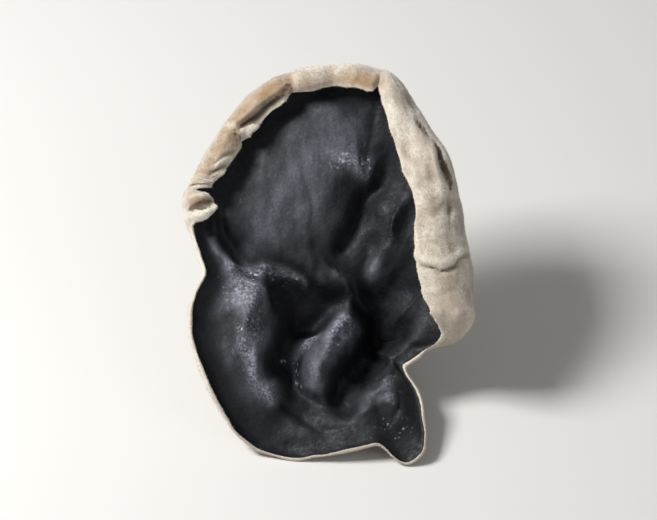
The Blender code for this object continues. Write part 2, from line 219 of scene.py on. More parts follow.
# Ribs of the felted back, fanning out from the hub: direction in degrees, height, half-width
RIBS = (
    (12, 1.3, 1.5),
    (47, 1.6, 1.7),
    (84, 1.4, 1.6),
    (118, 1.8, 1.8),
    (152, 1.3, 1.5),
    (190, 1.6, 1.7),
    (232, 1.0, 1.6),
    (268, 0.7, 1.5),
    (305, 1.0, 1.6),
    (338, 1.2, 1.4),
)
RIB_START = 8.0  # the ribs rise to their full height over this distance from the hub
RIB_END = (0.65, 0.95)  # and die out between these shares of the way to the curl
RIB_SIDE = 1.5  # radians from its direction past which a rib is over
FOOT = (1.5, -7.0)  # where the foot stands on the back
FOOT_HEIGHT = 11.5  # before it is cut
FOOT_RADIUS = 6.2
FOOT_SIDES = 4  # how steep the sides of the foot are

# Fine folds of the black face
FACE_FOLDS = (
    # two slender folds that run down from the dome into the sunken middle
    (2, ((-0.3, 2.8, 0.2, 0.6), (2.9, -0.1, 0.9, 0.65), (4.6, -3.7, 0.8, 0.6), (7.9, -5.5, 0.3, 0.5))),
    (2, ((-2.2, 5.7, 0.2, 0.8), (-1.7, 2.3, 0.5, 0.8), (-3.8, -2.0, 0.2, 0.6))),
    # faint lines down the dome
    (2, ((-4.0, 22.2, -0.05, 0.7), (-2.6, 17.4, -0.3, 0.6), (-3.2, 10.7, -0.3, 0.6),
         (-2.3, 7.2, -0.1, 0.6))),
    (2, ((2.2, 25.8, 0.05, 0.8), (4.7, 22.0, 0.4, 0.7), (7.5, 18.1, 0.25, 0.7), (8.0, 13.9, 0.05, 0.6))),
    (2, ((-8.1, 25.8, 0.05, 0.9), (-10.7, 18.0, 0.22, 0.8), (-11.1, 9.1, 0.1, 0.8))),
    (2, ((1.9, 18.9, 0.15, 0.5), (3.3, 19.2, 0.4, 0.5), (6.1, 19.6, 0.5, 0.5), (7.1, 18.3, 0.1, 0.4))),
    # the puckered lower edge of the dome
    (2, ((-17.3, 1.4, 0.2, 0.6), (-13.4, 0.8, 0.5, 0.5), (-10.5, -0.6, 0.8, 0.6), (-8.0, -1.5, 0.6, 0.5),
         (-4.4, -0.2, 0.4, 0.5))),
    # the fold inside the left edge
    (2, ((-20.8, 5.2, 0.2, 0.6), (-18.7, 2.6, 0.5, 0.6), (-16.7, 0.1, 0.2, 0.6))),
    # wrinkles across and along the left-hand ridge, and its steep right-hand shoulder
    (2, ((-15.7, -2.3, 0.1, 0.6), (-14.1, -2.4, 0.5, 0.6), (-11.9, -4.1, 0.6, 0.6))),
    (2, ((-12.0, -5.8, 0.4, 0.6), (-11.7, -8.8, 0.6, 0.7), (-13.1, -13.7, 0.4, 0.6),
         (-14.8, -15.5, 0.6, 0.6), (-13.5, -17.6, 0.5, 0.6), (-11.7, -19.0, 0.1, 0.6))),
    (2.5, ((-11.9, -1.8, 0.4, 0.7), (-10.0, -6.4, 0.7, 0.8), (-9.9, -10.1, 0.6, 0.8),
         (-11.0, -13.8, 0.2, 0.7))),
    (2, ((-11.1, -19.2, 0.1, 0.5), (-10.0, -20.9, 0.5, 0.6), (-6.6, -24.1, 0.2, 0.5))),
    # the swelling beyond the valley, sunk in drying
    (2, ((13.9, 14.0, -0.4, 2.4), (12.9, 9.3, -1.2, 2.8), (10.0, 5.9, -1.3, 2.6), (8.6, 1.6, -0.6, 1.9))),
    # the broken crest of the middle ridge, its broad left side, and the knobs on it
    (2, ((1.0, -10.5, 0.2, 1.6), (-1.6, -13.6, 0.6, 2.8), (-2.1, -17.3, 0.6, 2.6),
         (-4.1, -22.6, 0.2, 2.0))),
    (2, ((3.9, -8.0, 0.7, 0.9), (2.6, -10.0, 0.9, 1.0), (1.4, -11.4, 0.4, 0.8))),
    (2, ((1.5, -12.2, 0.5, 0.5), (1.2, -16.4, 0.5, 0.5), (-1.6, -20.0, 0.3, 0.5),
         (-3.4, -23.7, 0.1, 0.5))),
    (2, ((-1.8, -11.1, 0.3, 0.5), (-2.6, -12.2, 0.8, 0.6), (-3.2, -13.8, 0.2, 0.5))),
    (2, ((-4.7, -14.2, 0.4, 0.4), (-5.9, -14.6, 0.5, 0.4))),
    (2, ((-4.2, -18.0, 0.5, 0.4), (-5.2, -19.7, 0.4, 0.4))),
    # the crease round the lower end of the sunken middle
    (2, ((-10.8, -18.9, -0.1, 0.6), (-7.1, -23.0, -0.3, 0.6), (-4.0, -26.3, -0.4, 0.6),
         (0.4, -27.0, -0.4, 0.6), (5.0, -26.8, -0.1, 0.6))),
    # creases in the hump at the lower right, and the one beyond it
    (2, ((3.3, -21.8, -0.1, 0.4), (8.0, -22.7, -0.4, 0.45), (12.1, -21.4, -0.3, 0.4))),
    (2, ((3.7, -23.6, 0.1, 0.4), (8.8, -24.3, 0.35, 0.45), (12.1, -23.4, 0.3, 0.4))),
    (2, ((5.8, -20.2, 0.1, 0.4), (8.8, -18.8, 0.35, 0.4), (11.3, -18.8, 0.3, 0.4))),
    (2, ((11.9, -18.4, -0.3, 0.5), (13.1, -21.1, -0.8, 0.6), (13.6, -24.0, -0.7, 0.6),
         (11.6, -27.6, -0.2, 0.5))),
    # a thin fold under the right-hand curl
    (2, ((12.7, -8.6, 0.1, 0.4), (15.0, -5.4, 0.4, 0.4), (16.1, -4.5, 0.3, 0.4))),
)

# Creases and folds of the curled rim, as seen from in front of the face
ROLL_FOLDS = (
    # the long dent on the inner side of the upper left curl, and the lip below it
    (2.5, ((-7.7, 30.6, -0.3, 0.4), (-9.0, 26.8, -1.1, 0.6), (-10.5, 24.9, -1.3, 0.7),
         (-13.3, 22.3, -0.4, 0.5))),
    (2, ((-7.7, 29.0, 0.1, 0.4), (-8.5, 26.1, 0.5, 0.45), (-10.2, 24.0, 0.5, 0.45),
         (-12.4, 21.3, 0.2, 0.4))),
    (2, ((-10.7, 27.3, 0.2, 0.8), (-13.1, 24.3, 0.45, 0.9), (-17.3, 21.3, 0.2, 0.8))),
    # where the top curl is cinched, and a lesser wrinkle beside it
    (2, ((-6.1, 33.5, -0.9, 0.35), (-6.7, 31.8, -0.9, 0.4), (-6.6, 29.9, -0.7, 0.45))),
    (2, ((-7.7, 32.8, -0.4, 0.3), (-7.6, 31.6, -0.5, 0.3), (-7.8, 29.9, -0.3, 0.3))),
    (2, ((-4.7, 33.9, 0.3, 0.4), (-5.7, 31.6, 0.4, 0.45), (-5.1, 30.1, 0.3, 0.4))),
    # the seam across the upper left curl, and pleats near its lower end
    (2, ((-17.3, 23.7, 0.2, 0.4), (-14.5, 22.1, 0.5, 0.4), (-12.2, 21.2, 0.4, 0.4))),
    (2, ((-18.2, 23.0, -0.2, 0.35), (-15.2, 21.2, -0.6, 0.35), (-13.4, 20.1, -0.4, 0.35))),
    (2, ((-21.5, 16.7, -0.4, 0.35), (-18.4, 14.9, -0.7, 0.35), (-16.9, 15.6, -0.5, 0.35))),
    (2, ((-21.6, 18.0, -0.2, 0.3), (-18.8, 16.2, -0.5, 0.3), (-16.0, 18.8, -0.3, 0.3))),
    (2, ((-21.3, 14.3, 0.2, 0.4), (-18.4, 13.5, 0.4, 0.45), (-17.2, 14.1, 0.3, 0.4))),
    # waves of the top curl
    (2, ((2.0, 34.8, -0.2, 0.6), (2.1, 32.4, -0.35, 0.7), (2.0, 30.4, -0.2, 0.6))),
    (2, ((5.2, 33.4, 0.1, 0.8), (5.5, 31.2, 0.35, 0.9), (5.0, 30.3, 0.2, 0.7))),
    (2, ((9.1, 34.3, -0.3, 0.5), (9.1, 31.8, -0.4, 0.6), (9.4, 30.4, -0.2, 0.5))),
    # the growth line across the right-hand curl: a step with its upper side standing over
    (2.5, ((14.5, 1.1, -0.4, 0.32), (16.4, -1.0, -0.6, 0.34), (18.4, -2.5, -0.55, 0.34),
         (21.6, -2.2, -0.6, 0.34), (25.5, 1.0, -0.4, 0.32))),
    (2, ((14.5, 2.6, 0.2, 0.6), (16.7, 0.6, 0.5, 0.7), (18.5, -1.2, 0.5, 0.7), (21.6, -1.2, 0.5, 0.7),
         (24.8, 1.8, 0.2, 0.6))),
    # notches and crinkles of its outer side
    (2, ((16.6, 22.5, -0.5, 0.4), (17.8, 21.6, -1.0, 0.4), (18.0, 20.7, -0.4, 0.35))),
    (2, ((18.7, 19.8, -0.5, 0.4), (19.7, 18.7, -1.4, 0.55), (20.0, 17.2, -1.5, 0.5),
         (19.8, 15.2, -0.9, 0.4), (20.4, 12.2, -0.3, 0.3))),
    (2, ((20.8, 10.1, -0.4, 0.3), (22.1, 8.3, -0.8, 0.35), (22.7, 7.0, -0.3, 0.3))),
    (2, ((17.4, 18.9, 0.2, 0.6), (18.6, 15.5, 0.5, 0.6), (19.6, 10.4, 0.3, 0.7))),
    (2, ((14.8, 29.7, -0.2, 0.35), (15.4, 26.7, -0.6, 0.4), (16.4, 24.5, -0.2, 0.35))),
    # shallow dents down its length
    (2, ((13.4, 31.1, -0.1, 0.7), (14.3, 25.4, -0.35, 0.9), (14.7, 21.3, -0.1, 0.8))),
    (2, ((15.6, 19.6, 0.1, 1.2), (16.0, 14.8, 0.45, 1.5), (18.3, 10.3, 0.3, 1.6))),
    (2, ((18.1, -4.4, -0.1, 0.9), (20.6, -6.1, -0.4, 1.0), (22.0, -4.8, -0.2, 0.9))),
    (2, ((21.0, -8.9, 0.1, 1.0), (22.4, -8.8, 0.4, 1.0), (24.3, -7.2, 0.2, 0.9))),
    # the hollow of the small curl under the split, and the lips round it
    (2.5, ((-22.2, 9.1, -0.4, 0.6), (-20.8, 8.6, -1.0, 0.7), (-19.5, 8.6, -0.9, 0.6),
         (-18.5, 9.1, -0.3, 0.4))),
    (2, ((-21.8, 10.7, 0.2, 0.4), (-19.5, 10.0, 0.4, 0.4), (-18.3, 10.0, 0.2, 0.3))),
    (2, ((-22.1, 7.5, 0.1, 0.5), (-20.5, 7.5, 0.4, 0.4), (-18.2, 8.2, 0.3, 0.4))),
)

# Where a cloudy bloom of spores lies on the black face, and where light is painted in the same grey on the
# dome, the ridges and the swellings, with its strength in place of a height
BLOOM_AND_LIGHT = (
    (2, ((-10.0, 6.0, 0.42, 4.8), (-6.0, 13.0, 0.42, 6.2), (0.5, 21.0, 0.45, 6.0))),
    (2, ((1.3, -11.3, 0.2, 1.6), (-0.6, -14.5, 0.15, 2.2), (-1.3, -17.3, 0.15, 2.2),
         (-3.3, -21.6, 0.1, 1.6))),
    (2, ((1.9, 18.9, 0.4, 1.2), (6.0, 19.3, 0.8, 1.3), (7.1, 17.5, 0.4, 1.0))),
    (2, ((-17.3, 1.2, 0.6, 0.8), (-10.5, -0.7, 1.0, 0.9), (-4.2, -0.1, 0.8, 0.8))),
    (2, ((-20.8, 4.8, 0.5, 0.9), (-18.6, 2.7, 0.6, 1.0), (-15.2, -0.9, 0.6, 1.6),
         (-13.5, -4.9, 0.9, 1.9))),
    (2, ((-12.2, -5.2, 0.6, 1.8), (-10.5, -10.2, 0.7, 1.7), (-13.3, -15.6, 0.9, 1.7),
         (-12.2, -18.2, 0.7, 1.5), (-9.3, -21.7, 0.6, 1.4))),
    (2, ((-18.0, -5.2, 0.12, 3.0), (-19.1, -12.6, 0.15, 3.0), (-13.9, -21.5, 0.15, 3.0))),
    (2, ((3.5, -8.6, 1.0, 1.6), (2.2, -11.0, 1.0, 1.6), (1.6, -12.4, 0.6, 1.1), (1.2, -16.2, 0.5, 0.9),
         (-1.8, -20.1, 0.3, 0.9))),
    (2, ((-1.8, -11.1, 0.7, 1.0), (-2.6, -12.2, 1.0, 1.2), (-5.3, -14.4, 0.7, 0.6),
         (-4.9, -19.2, 0.7, 0.6))),
    (2, ((8.2, 1.8, 0.15, 1.5), (8.6, -0.1, 0.7, 1.1))),
    (2, ((2.7, 0.2, 0.4, 0.7), (7.7, -5.4, 0.3, 0.6))),
    (2, ((6.5, -22.6, 0.2, 1.4), (10.6, -21.2, 0.3, 1.5), (12.0, -19.7, 0.6, 0.9),
         (12.2, -22.9, 0.5, 0.8))),
    (2, ((-8.0, -28.8, 0.08, 2.0), (-0.7, -30.0, 0.08, 2.0), (4.8, -29.8, 0.12, 1.2),
         (8.3, -28.6, 0.25, 1.0))),
)

# Noise laid over the skins: the height of its bumps, how wide they are (or how long, broad and high), and a
# seed
SWAY = ((0.35, 5.0, 11), (0.15, 2.0, 12))  # carries both skins to and fro near the margin
FRAY = ((0.35, 1.9, 13), (0.20, 0.9, 14))  # carries the edge of a curl in and out
FACE_SWELLS = ((0.20, 3.2, 21),)
FACE_LUMPS = ((0.08, 1.4, 22),)  # twice as high where the bloom and painted light are full
BACK_LUMPS = ((0.30, 4.6, 31), (0.14, 2.0, 32), (0.06, 0.9, 33))
STREAKS = ((0.14, (9.0, 1.3, 1.0), 34), (0.07, (5.0, 0.7, 1.0), 35))  # run along the curls
VEIN_WANDER = (((1.6, 6.0, 41), (0.5, 2.2, 42)), ((1.6, 6.0, 43), (0.5, 2.2, 44)))  # across and up
SWAY_REACH, FRAY_REACH = 3.0, 1.2  # how far in from the edge these two are felt
LUMPS_LOST = 0.35  # share of the back's lumps that the curls are without
LATTICE = 32  # the noise repeats after this many bumps

# The net of raised veins on the back
VEIN_SEED = 7
VEIN_MESHES = (7, 12, 17, 22)  # meshes of the vein net in each ring round the hub
VEIN_RINGS = (8.0, 15.0, 23.0, 31.0)  # how far out the rings lie
VEIN_JITTER = (0.3, 1.8)  # how far a mesh is off its place: round the ring, in meshes, and outwards
VEIN_DRAWN = 1.5  # how much longer than wide a mesh is
VEIN_WIDTH = 1.1  # distance over which a vein falls away, in the measure of the net
VEIN_SIDE = 1.57  # radians off its direction from which a point counts as square to a mesh
VEIN_START = (4.0, 9.0)  # distances from the hub between which the net rises
VEINS_LOST = 0.85  # share of the net that the curls are without

# The margin, where both skins meet
SHARPENED = 0.35  # how much thinner than in the solid the flesh is at its very edge
SHARPEN_FROM = 0.86  # share of the rows from which it thins to that
MARGIN_BULGE = 0.2  # how far the margin is rounded out
EDGE_BAND = 0.4  # width of the pale band along it
DULL_BELOW = (-30.0, -24.0)  # the band is narrower and duller below these y, along the bottom of the cap
DULL_WIDTH, DULL_TONE = 0.4, 0.5  # and there has these shares of its width and of its strength

# Where things show
ROLLED = (120.0, 190.0)  # degrees of turn between which an edge comes to count as a curl
FADE_ROWS = 8  # rows over which what lies on the face dies out towards the curl
FACING = (0.0, 0.4)  # a fold of a curl rises as the skin comes to face the front by these shares
EVENED, EVENED_FACE = 12, 60  # how often the relief is evened out to tell what stands out of it
SUNK, RAISED, HIGH = (0.02, 0.35), (0.05, 0.35), (0.0, 1.4)  # and by how much it then has to stand out
HIGH_BLOOM_AND_LIGHT, SPECKS_ON_BLOOM_AND_LIGHT = 0.1, 0.12  # painted light in the bloom's grey on all that is high, and specks on all of the bloom and painted light
BACK_TAUPE = 0.35  # share of taupe on the whole back, the same taupe that the hollows get as painted shade
RAISED_HIGHLIGHT = 0.5  # how strong the painted highlight is on the crests of a curl, beside those that are listed
DENT_SHADE_GAIN = 1.3  # how much stronger the painted shade in a dent is than its line says, so that it is full in its middle

# Where the felt is tan
TAN = (
    (2, ((-21.4, 13.7, 0.3, 2.4), (-18.9, 18.7, 0.55, 2.2), (-11.9, 25.1, 1.0, 2.6), (-8.4, 30.9, 0.9, 2.6),
         (-6.5, 32.0, 0.5, 2.0))),
    (2, ((-5.9, 30.5, 0.7, 1.0), (1.7, 31.2, 0.5, 1.0), (7.4, 30.3, 1.0, 1.6), (9.6, 31.2, 0.9, 1.6))),
    (2, ((17.3, 20.9, 0.3, 1.2), (16.8, 18.5, 0.5, 1.4), (17.9, 15.1, 0.3, 1.3))),
    (2, ((18.2, -3.0, 0.1, 2.0), (21.2, -7.9, 0.3, 2.4), (23.4, -10.5, 0.35, 2.4))),
    (2, ((-21.5, 9.8, 0.8, 1.0), (-18.9, 9.2, 1.0, 0.9))),
)

# Crests and lips of the curled rim with a painted highlight, a painted highlight along the inner edge of the
# right-hand curl, and painted light over broad parts of that curl
PAINTED_HIGHLIGHTS = (
    (2, ((-7.5, 29.1, 0.6, 0.4), (-8.5, 26.0, 1.0, 0.45), (-10.2, 23.9, 1.0, 0.45),
         (-12.7, 21.1, 0.6, 0.4))),
    (2, ((-17.3, 23.7, 0.3, 0.3), (-14.5, 22.1, 0.8, 0.3), (-12.2, 21.2, 0.6, 0.3))),
    (2, ((-21.8, 10.7, 0.6, 0.4), (-19.5, 10.0, 1.0, 0.35), (-18.1, 10.1, 1.0, 0.3))),
    (2, ((-22.1, 7.5, 0.5, 0.4), (-20.5, 7.5, 1.0, 0.4), (-17.9, 8.2, 0.8, 0.35))),
    (2, ((14.6, 2.2, 0.5, 0.35), (16.7, 0.1, 1.0, 0.35), (18.4, -1.6, 1.0, 0.35), (21.6, -1.5, 1.0, 0.35),
         (25.1, 1.7, 0.5, 0.35))),
    (2, ((10.5, 29.4, 0.5, 0.6), (10.8, 25.0, 0.8, 0.6), (12.6, 16.1, 0.8, 0.6), (15.8, 11.5, 0.8, 0.6),
         (14.8, 5.2, 0.7, 0.6), (16.1, -2.0, 0.4, 0.6), (19.5, -9.4, 0.4, 0.6))),
    (2, ((11.8, 31.6, 0.5, 2.0), (15.3, 21.2, 0.6, 2.2), (17.5, 15.5, 0.2, 2.0))),
    (2, ((17.2, -4.9, 0.4, 3.0), (21.8, -10.0, 0.5, 3.0))),
)

# Where white specks lie on the face: crumbs of spores, and painted glints
SPECKS_AND_GLINTS = (
    (2, ((2.2, 17.6, 0.6, 1.0), (4.2, 19.4, 1.0, 1.3), (6.7, 19.7, 0.9, 1.2), (7.4, 17.3, 0.5, 1.0))),
    (2, ((-17.3, 1.2, 0.7, 0.8), (-10.6, -0.9, 1.0, 0.9), (-7.7, -1.5, 1.0, 0.8), (-4.2, -0.1, 0.9, 0.9))),
    (2, ((-14.3, -1.5, 0.7, 1.8), (-13.3, -4.2, 0.9, 1.8), (-11.5, -10.3, 0.9, 1.8),
         (-14.3, -15.4, 1.0, 1.4), (-13.2, -17.7, 0.9, 1.2), (-9.6, -21.4, 0.8, 1.2))),
    (2, ((3.5, -8.6, 1.0, 1.2), (2.0, -11.0, 0.8, 1.2), (1.4, -13.5, 0.3, 1.2), (-1.5, -19.4, 0.15, 1.2))),
    (2, ((-2.2, -11.1, 1.0, 0.8), (-3.0, -12.6, 1.0, 0.8))),
    (2, ((-6.1, -13.8, 1.0, 0.6), (-4.8, -14.6, 1.0, 0.5), (-4.7, -20.3, 0.9, 0.7))),
    (2, ((11.7, -19.0, 0.7, 0.8), (12.2, -22.9, 0.6, 0.8))),
    (2, ((14.4, -27.7, 0.5, 1.6), (7.4, -28.7, 0.6, 1.2), (4.9, -31.0, 0.4, 1.2),
         (-1.5, -32.2, 0.3, 1.0))),
    (2, ((-19.7, -0.6, 0.8, 0.9), (-17.8, -2.2, 0.6, 0.8))),
    (2, ((-16.6, -22.9, 0.5, 1.0), (-13.5, -23.2, 0.8, 0.9))),
)

# Dents and creases of the curled rim painted dark brown as shade, where no hair grows
SHADED_DENTS = (
    (2.5, ((-7.7, 30.6, 0.4, 0.4), (-9.0, 26.8, 1.0, 0.6), (-10.5, 24.9, 1.0, 0.75),
         (-13.3, 22.3, 0.5, 0.5))),
    (2.5, ((18.7, 19.8, 0.7, 0.4), (19.7, 18.7, 1.0, 0.5), (20.0, 17.2, 1.0, 0.5),
         (20.4, 12.2, 0.5, 0.3))),
    (2.5, ((16.6, 22.5, 0.5, 0.35), (17.8, 21.6, 1.0, 0.4), (18.0, 20.7, 0.5, 0.3))),
    (2.5, ((-22.2, 9.1, 0.6, 0.5), (-20.8, 8.6, 1.0, 0.65), (-19.5, 8.6, 1.0, 0.6),
         (-18.5, 9.1, 0.5, 0.35))),
    (2, ((-6.1, 33.0, 0.5, 0.25), (-6.9, 32.0, 0.6, 0.3), (-7.5, 31.0, 0.5, 0.25))),
    (2, ((-17.4, 22.8, 0.35, 0.25), (-14.8, 21.4, 0.6, 0.3), (-13.2, 20.6, 0.45, 0.25))),
    (2, ((-19.7, 14.7, 0.35, 0.25), (-17.8, 14.6, 0.5, 0.25), (-17.0, 15.5, 0.4, 0.25))),
    (2, ((14.5, 1.1, 0.35, 0.22), (16.5, -0.9, 0.42, 0.25), (18.6, -2.3, 0.42, 0.25),
         (21.9, -2.1, 0.42, 0.25), (25.3, 0.9, 0.35, 0.22))),
    (2, ((-22.4, 13.0, 0.6, 0.3), (-19.3, 12.5, 0.8, 0.35), (-17.6, 12.4, 0.7, 0.35))),
)

BARE_BELOW = 0.7  # no hair grows lower than this over the table

# Blotches of the materials: how wide one is in mm, its detail, and the noise at which it shows and is full
CLOUDS = (5.0, 5.0, 0.38, 0.66)
SMOKE = (2.2, 4.0, 0.32, 0.66)
GRIT = (0.45, 3.0, 0.40, 0.62)
SPECK_GROUPS = (1.6, 2.0, 0.42, 0.56)
MARGIN_RAGS = (0.8, 4.0, 0.3, 0.7)
SATIN = (0.9, 6.0, 0.3, 0.7)
FELT_PATCHES = (6.0, 4.0, 0.35, 0.68)
ROSY_PATCHES = (3.0, 5.0, 0.48, 0.70)
BROWN_PATCHES = (0.9, 6.0, 0.50, 0.70)
BROWN_DOTS = (0.3, 2.0, 0.60, 0.70)
DENT_SHADE_RAGS = (0.7, 4.0, 0.3, 0.7)
FELT_STREAKS = (0.24, 4.0, 0.40, 0.62)
CUT_RINGS = (1.2, 4.0, 0.35, 0.65)
SMOKE_DRAWN = (1.0, 0.4, 0.4)  # the smoke of the bloom is drawn out across these axes
CUT_PORES = 0.35  # mm from one pore of the cut to the next
CUT_SLOT = 2  # place of the cut's material among the cap's, after the face and the felt
SPECKS_DRAWN = ((0.6, 0.55), (0.85, 0.8), (1.3, 1.0))  # mm from speck to speck, and how white they are
DOT_UNEVEN = (3.0, 0.5)  # ripples of a dot's outline in a cell, and how far they push it in, in cells
DOT_EDGE = (0.56, 0.34)  # cells from a dot's middle at which it is gone and at which it is full
DOTS_KEPT = (0.42, 0.65)  # draw of a cell, from 0 to 1, from which its dot shows and from which it is full

# Grain of the materials: its size in mm, detail, roughness, strength and height in mm
PUCKER = (1.1, 3.0, 0.6, 0.9, 0.18)
LEATHER = (0.22, 4.0, 0.7, 0.8, 0.045)
TOOTH = (0.2, 3.0, 0.7, 0.8, 0.08)

# Stage, in metres, with the camera's lens and sensor in mm
FLOOR_HALF = 3.0
KEY_PLACE, KEY_SIZE = (-0.285, -0.01, 0.35), 0.14
FILL_PLACE, FILL_SIZE = (0.40, -0.30, 0.30), 0.40
CAMERA_LENS, CAMERA_SENSOR = 176.0, 36.0
CAMERA_NEAR = 0.01


def bearing(x, y):
    """Direction of a point from the hub, in degrees from 0 to 360."""
    return np.degrees(np.arctan2(y - HUB[1], x - HUB[0])) % 360.0


def apart(angles, direction):
    """How many degrees these angles lie from a direction, from -180 to 180."""
    return (angles - direction + 180.0) % 360.0 - 180.0


def around(value, station_angles, angles, ease=RIM_EASE):
    """A rim value at any angle: straight between the stations, then eased round the whole turn."""
    step = 0.25
    fine = np.arange(0.0, 360.0, step)
    raw = np.interp(fine, station_angles, value, period=360.0)
    tail = int(4 * ease / step)  # past this the weight is nothing
    weight = np.exp(-((np.arange(-tail, tail + 1) * step / ease) ** 2))
    weight /= weight.sum()
    smooth = np.convolve(np.concatenate([raw, raw, raw]), weight, mode="same")[len(raw) : 2 * len(raw)]
    return np.interp(angles, fine, smooth, period=360.0)


def squareness(reach, station_angles, angles):
    """The cosine of how far a profile is off square to the rim that it ends at."""
    step = 1.0
    before, after = (around(reach, station_angles, angles + d, OBLIQUE_EASE) for d in (-step, step))
    change = (after - before) / np.radians(2.0 * step)
    return 1.0 / np.hypot(1.0, 2.0 * change / (after + before))


def rim_values(angles):
    """Reach from the hub, radius of the curl, turn of the edge, height of the rim and height of the curl
    against its width at these angles."""
    stations = np.array(RIM, float)
    at = bearing(stations[:, 0], stations[:, 1])
    order = np.argsort(at)
    reach_of = np.hypot(stations[:, 0] - HUB[0], stations[:, 1] - HUB[1])
    columns = [reach_of, stations[:, 2], stations[:, 3], stations[:, 4]]
    reach, curl, turn, height = (around(c[order], at[order], angles) for c in columns)
    for x, y, half_width, lost, share in NIPS:
        nip = np.exp(-((apart(angles, bearing(x, y)) / half_width) ** 2))
        turn = turn - lost * nip
        curl = curl * (1.0 - share * nip)
    flattened = FLATTENED * squareness(reach_of[order], at[order], angles)
    return reach, curl, turn, height, flattened


def column_angles(count):
    """Angles of the columns, closer together where the rim changes fast."""
    fine = np.linspace(0.0, 360.0, 3601)  # every tenth of a degree
    crowd = np.ones_like(fine)
    for direction, half_width, more in CROWDED:
        crowd += more * np.exp(-((apart(fine, direction) / half_width) ** 2))
    filled = np.concatenate([[0.0], np.cumsum((crowd[1:] + crowd[:-1]) / 2)])
    return np.interp(np.arange(count) / count * filled[-1], filled, fine)


def crest(x, y, steepness, points, wider=0.0):
    """Height of one swelling or hollow: full along its line, falling away smoothly to each side."""
    best = np.zeros(np.shape(x))
    for (x1, y1, h1, w1), (x2, y2, h2, w2) in zip(points, points[1:]):
        dx, dy = x2 - x1, y2 - y1
        along = np.clip(((x - x1) * dx + (y - y1) * dy) / (dx * dx + dy * dy), 0.0, 1.0)
        away = np.hypot(x - x1 - along * dx, y - y1 - along * dy)
        rise = h1 + (h2 - h1) * along
        value = rise * np.exp(-((away / (w1 + (w2 - w1) * along + wider)) ** steepness))
        best = np.where(np.abs(value) > np.abs(best), value, best)
    return best


def drift(x, y):
    """Moves points a little to and fro, smoothly, so that what is drawn at them wanders."""
    across, up = (
        sum(share * np.sin(a * x + b * y + start) for share, a, b, start in waves) for waves in DRIFT_WAVES
    )
    return x + DRIFT * across, y + DRIFT * up


def skin_height(x, y, share, inward, height, of_back):
    """Height of a skin. share is 0 at the hub and 1 where the rim starts to curl, and inward is how far in
    from there the point lies. The back's swellings are softer and its hollows wider than the face's, so
    that the flesh between them is whole."""
    z = -DEPTH * (1.0 - share**FUNNEL) + height * share**2
    fade = smooth_step(inward, 0.0, PLAIN_EDGE)
    x, y = drift(x, y)
    for steepness, points in RELIEF:
        if of_back and points[1][2] > 0:
            z = z + SOFTER[0] * crest(x, y, SOFTER[1], points) * fade
        elif of_back:
            z = z + crest(x, y, WIDER[1], points, wider=WIDER[0]) * fade
        else:
            z = z + crest(x, y, steepness, points) * fade
    return z


def skin(angles, of_back=False):
    """A skin as rows of distance from the hub and of height, from the hub out to the free edge. The slope
    at which the curl takes over from the face depends on where it starts, so both are found in turns."""
    reach, curl, turn, height, flattened = rim_values(angles)
    turn = np.radians(turn)
    cos, sin = np.cos(np.radians(angles)), np.sin(np.radians(angles))

    def at(share):
        u, ones = foot * share, np.ones(len(angles))
        return skin_height(HUB[0] + u * cos, HUB[1] + u * sin, share * ones, foot - u, height, of_back)

    slope = np.full(len(angles), SLOPE_START)
    for _ in range(SLOPE_TURNS):
        foot = reach - MARGIN - curl * (1.0 - np.sin(slope))
        slope = np.arctan2(at(1.0) - at(1.0 - SLOPE_SPAN), foot * SLOPE_SPAN)
    rows = [(foot * share, at(share)) for share in FACE_SHARES]
    u0, z0 = rows[-1]
    for i in range(1, ROLL_ROWS + 1):
        heading = slope + (turn - slope) * i / ROLL_ROWS
        u = u0 + curl * (np.sin(heading) - np.sin(slope))
        z = z0 + flattened * curl * (np.cos(slope) - np.cos(heading))
        rows.append((u, z))
    return np.array([u for u, _ in rows]), np.array([z for _, z in rows])


def below(u, z, thick):
    """The rows of a skin moved behind it by the thickness of the flesh, within each profile."""
    du, dz = np.gradient(u, axis=0), np.gradient(z, axis=0)
    length = np.hypot(du, dz)
    return u + thick * dz / length, z - thick * du / length


def to_points(u, z, angles):
    """Points of a skin from its distances from the hub and heights."""
    a = np.radians(angles)[None, :]
    return np.stack([HUB[0] + u * np.cos(a), HUB[1] + u * np.sin(a), z], axis=2)


def back_growth(points, share):
    """How far the ribs and the foot stand out of the back."""
    x, y = points[:, :, 0], points[:, :, 1]
    foot = FOOT_HEIGHT * np.exp(-((np.hypot(x - FOOT[0], y - FOOT[1]) / FOOT_RADIUS) ** FOOT_SIDES))
    x, y = drift(x, y)
    out = np.hypot(x - HUB[0], y - HUB[1])
    fade = np.clip(out / RIB_START, 0.0, 1.0)
    fade = fade * np.clip((RIB_END[1] - share) / (RIB_END[1] - RIB_END[0]), 0.0, 1.0)
    growth = np.zeros_like(out)
    for direction, rise, half_width in RIBS:
        off = np.radians(apart(bearing(x, y), direction))
        away = out * np.sin(np.clip(off, -RIB_SIDE, RIB_SIDE))
        growth += rise * fade * np.exp(-((away / half_width) ** 2)) * (np.abs(off) < RIB_SIDE)
    return growth + foot


def skins():
    """Points of the black face and of the felted back, row by row from the hub out, and the angles of the
    columns."""
    angles = column_angles(COLUMNS)
    share = np.concatenate([FACE_SHARES, np.full(ROLL_ROWS, 1.0)])[:, None]
    u, z = skin(angles)
    front = to_points(u, z, angles)
    u, z = skin(angles, of_back=True)
    rows = np.arange(len(u))[:, None] / (len(u) - 1)
    thinned = np.clip((rows - THINNING[0]) / (THINNING[1] - THINNING[0]), 0.0, 1.0)
    thick = FLESH + (MARGIN - FLESH) * thinned
    thick = thick - SHARPENED * smooth_step(rows, SHARPEN_FROM, 1.0)
    back = to_points(*below(u, z, thick), angles)
    back[0] = back[0].mean(axis=0)
    back[:, :, 2] -= back_growth(back, share)
    return swept(front, angles), swept(back, angles), angles


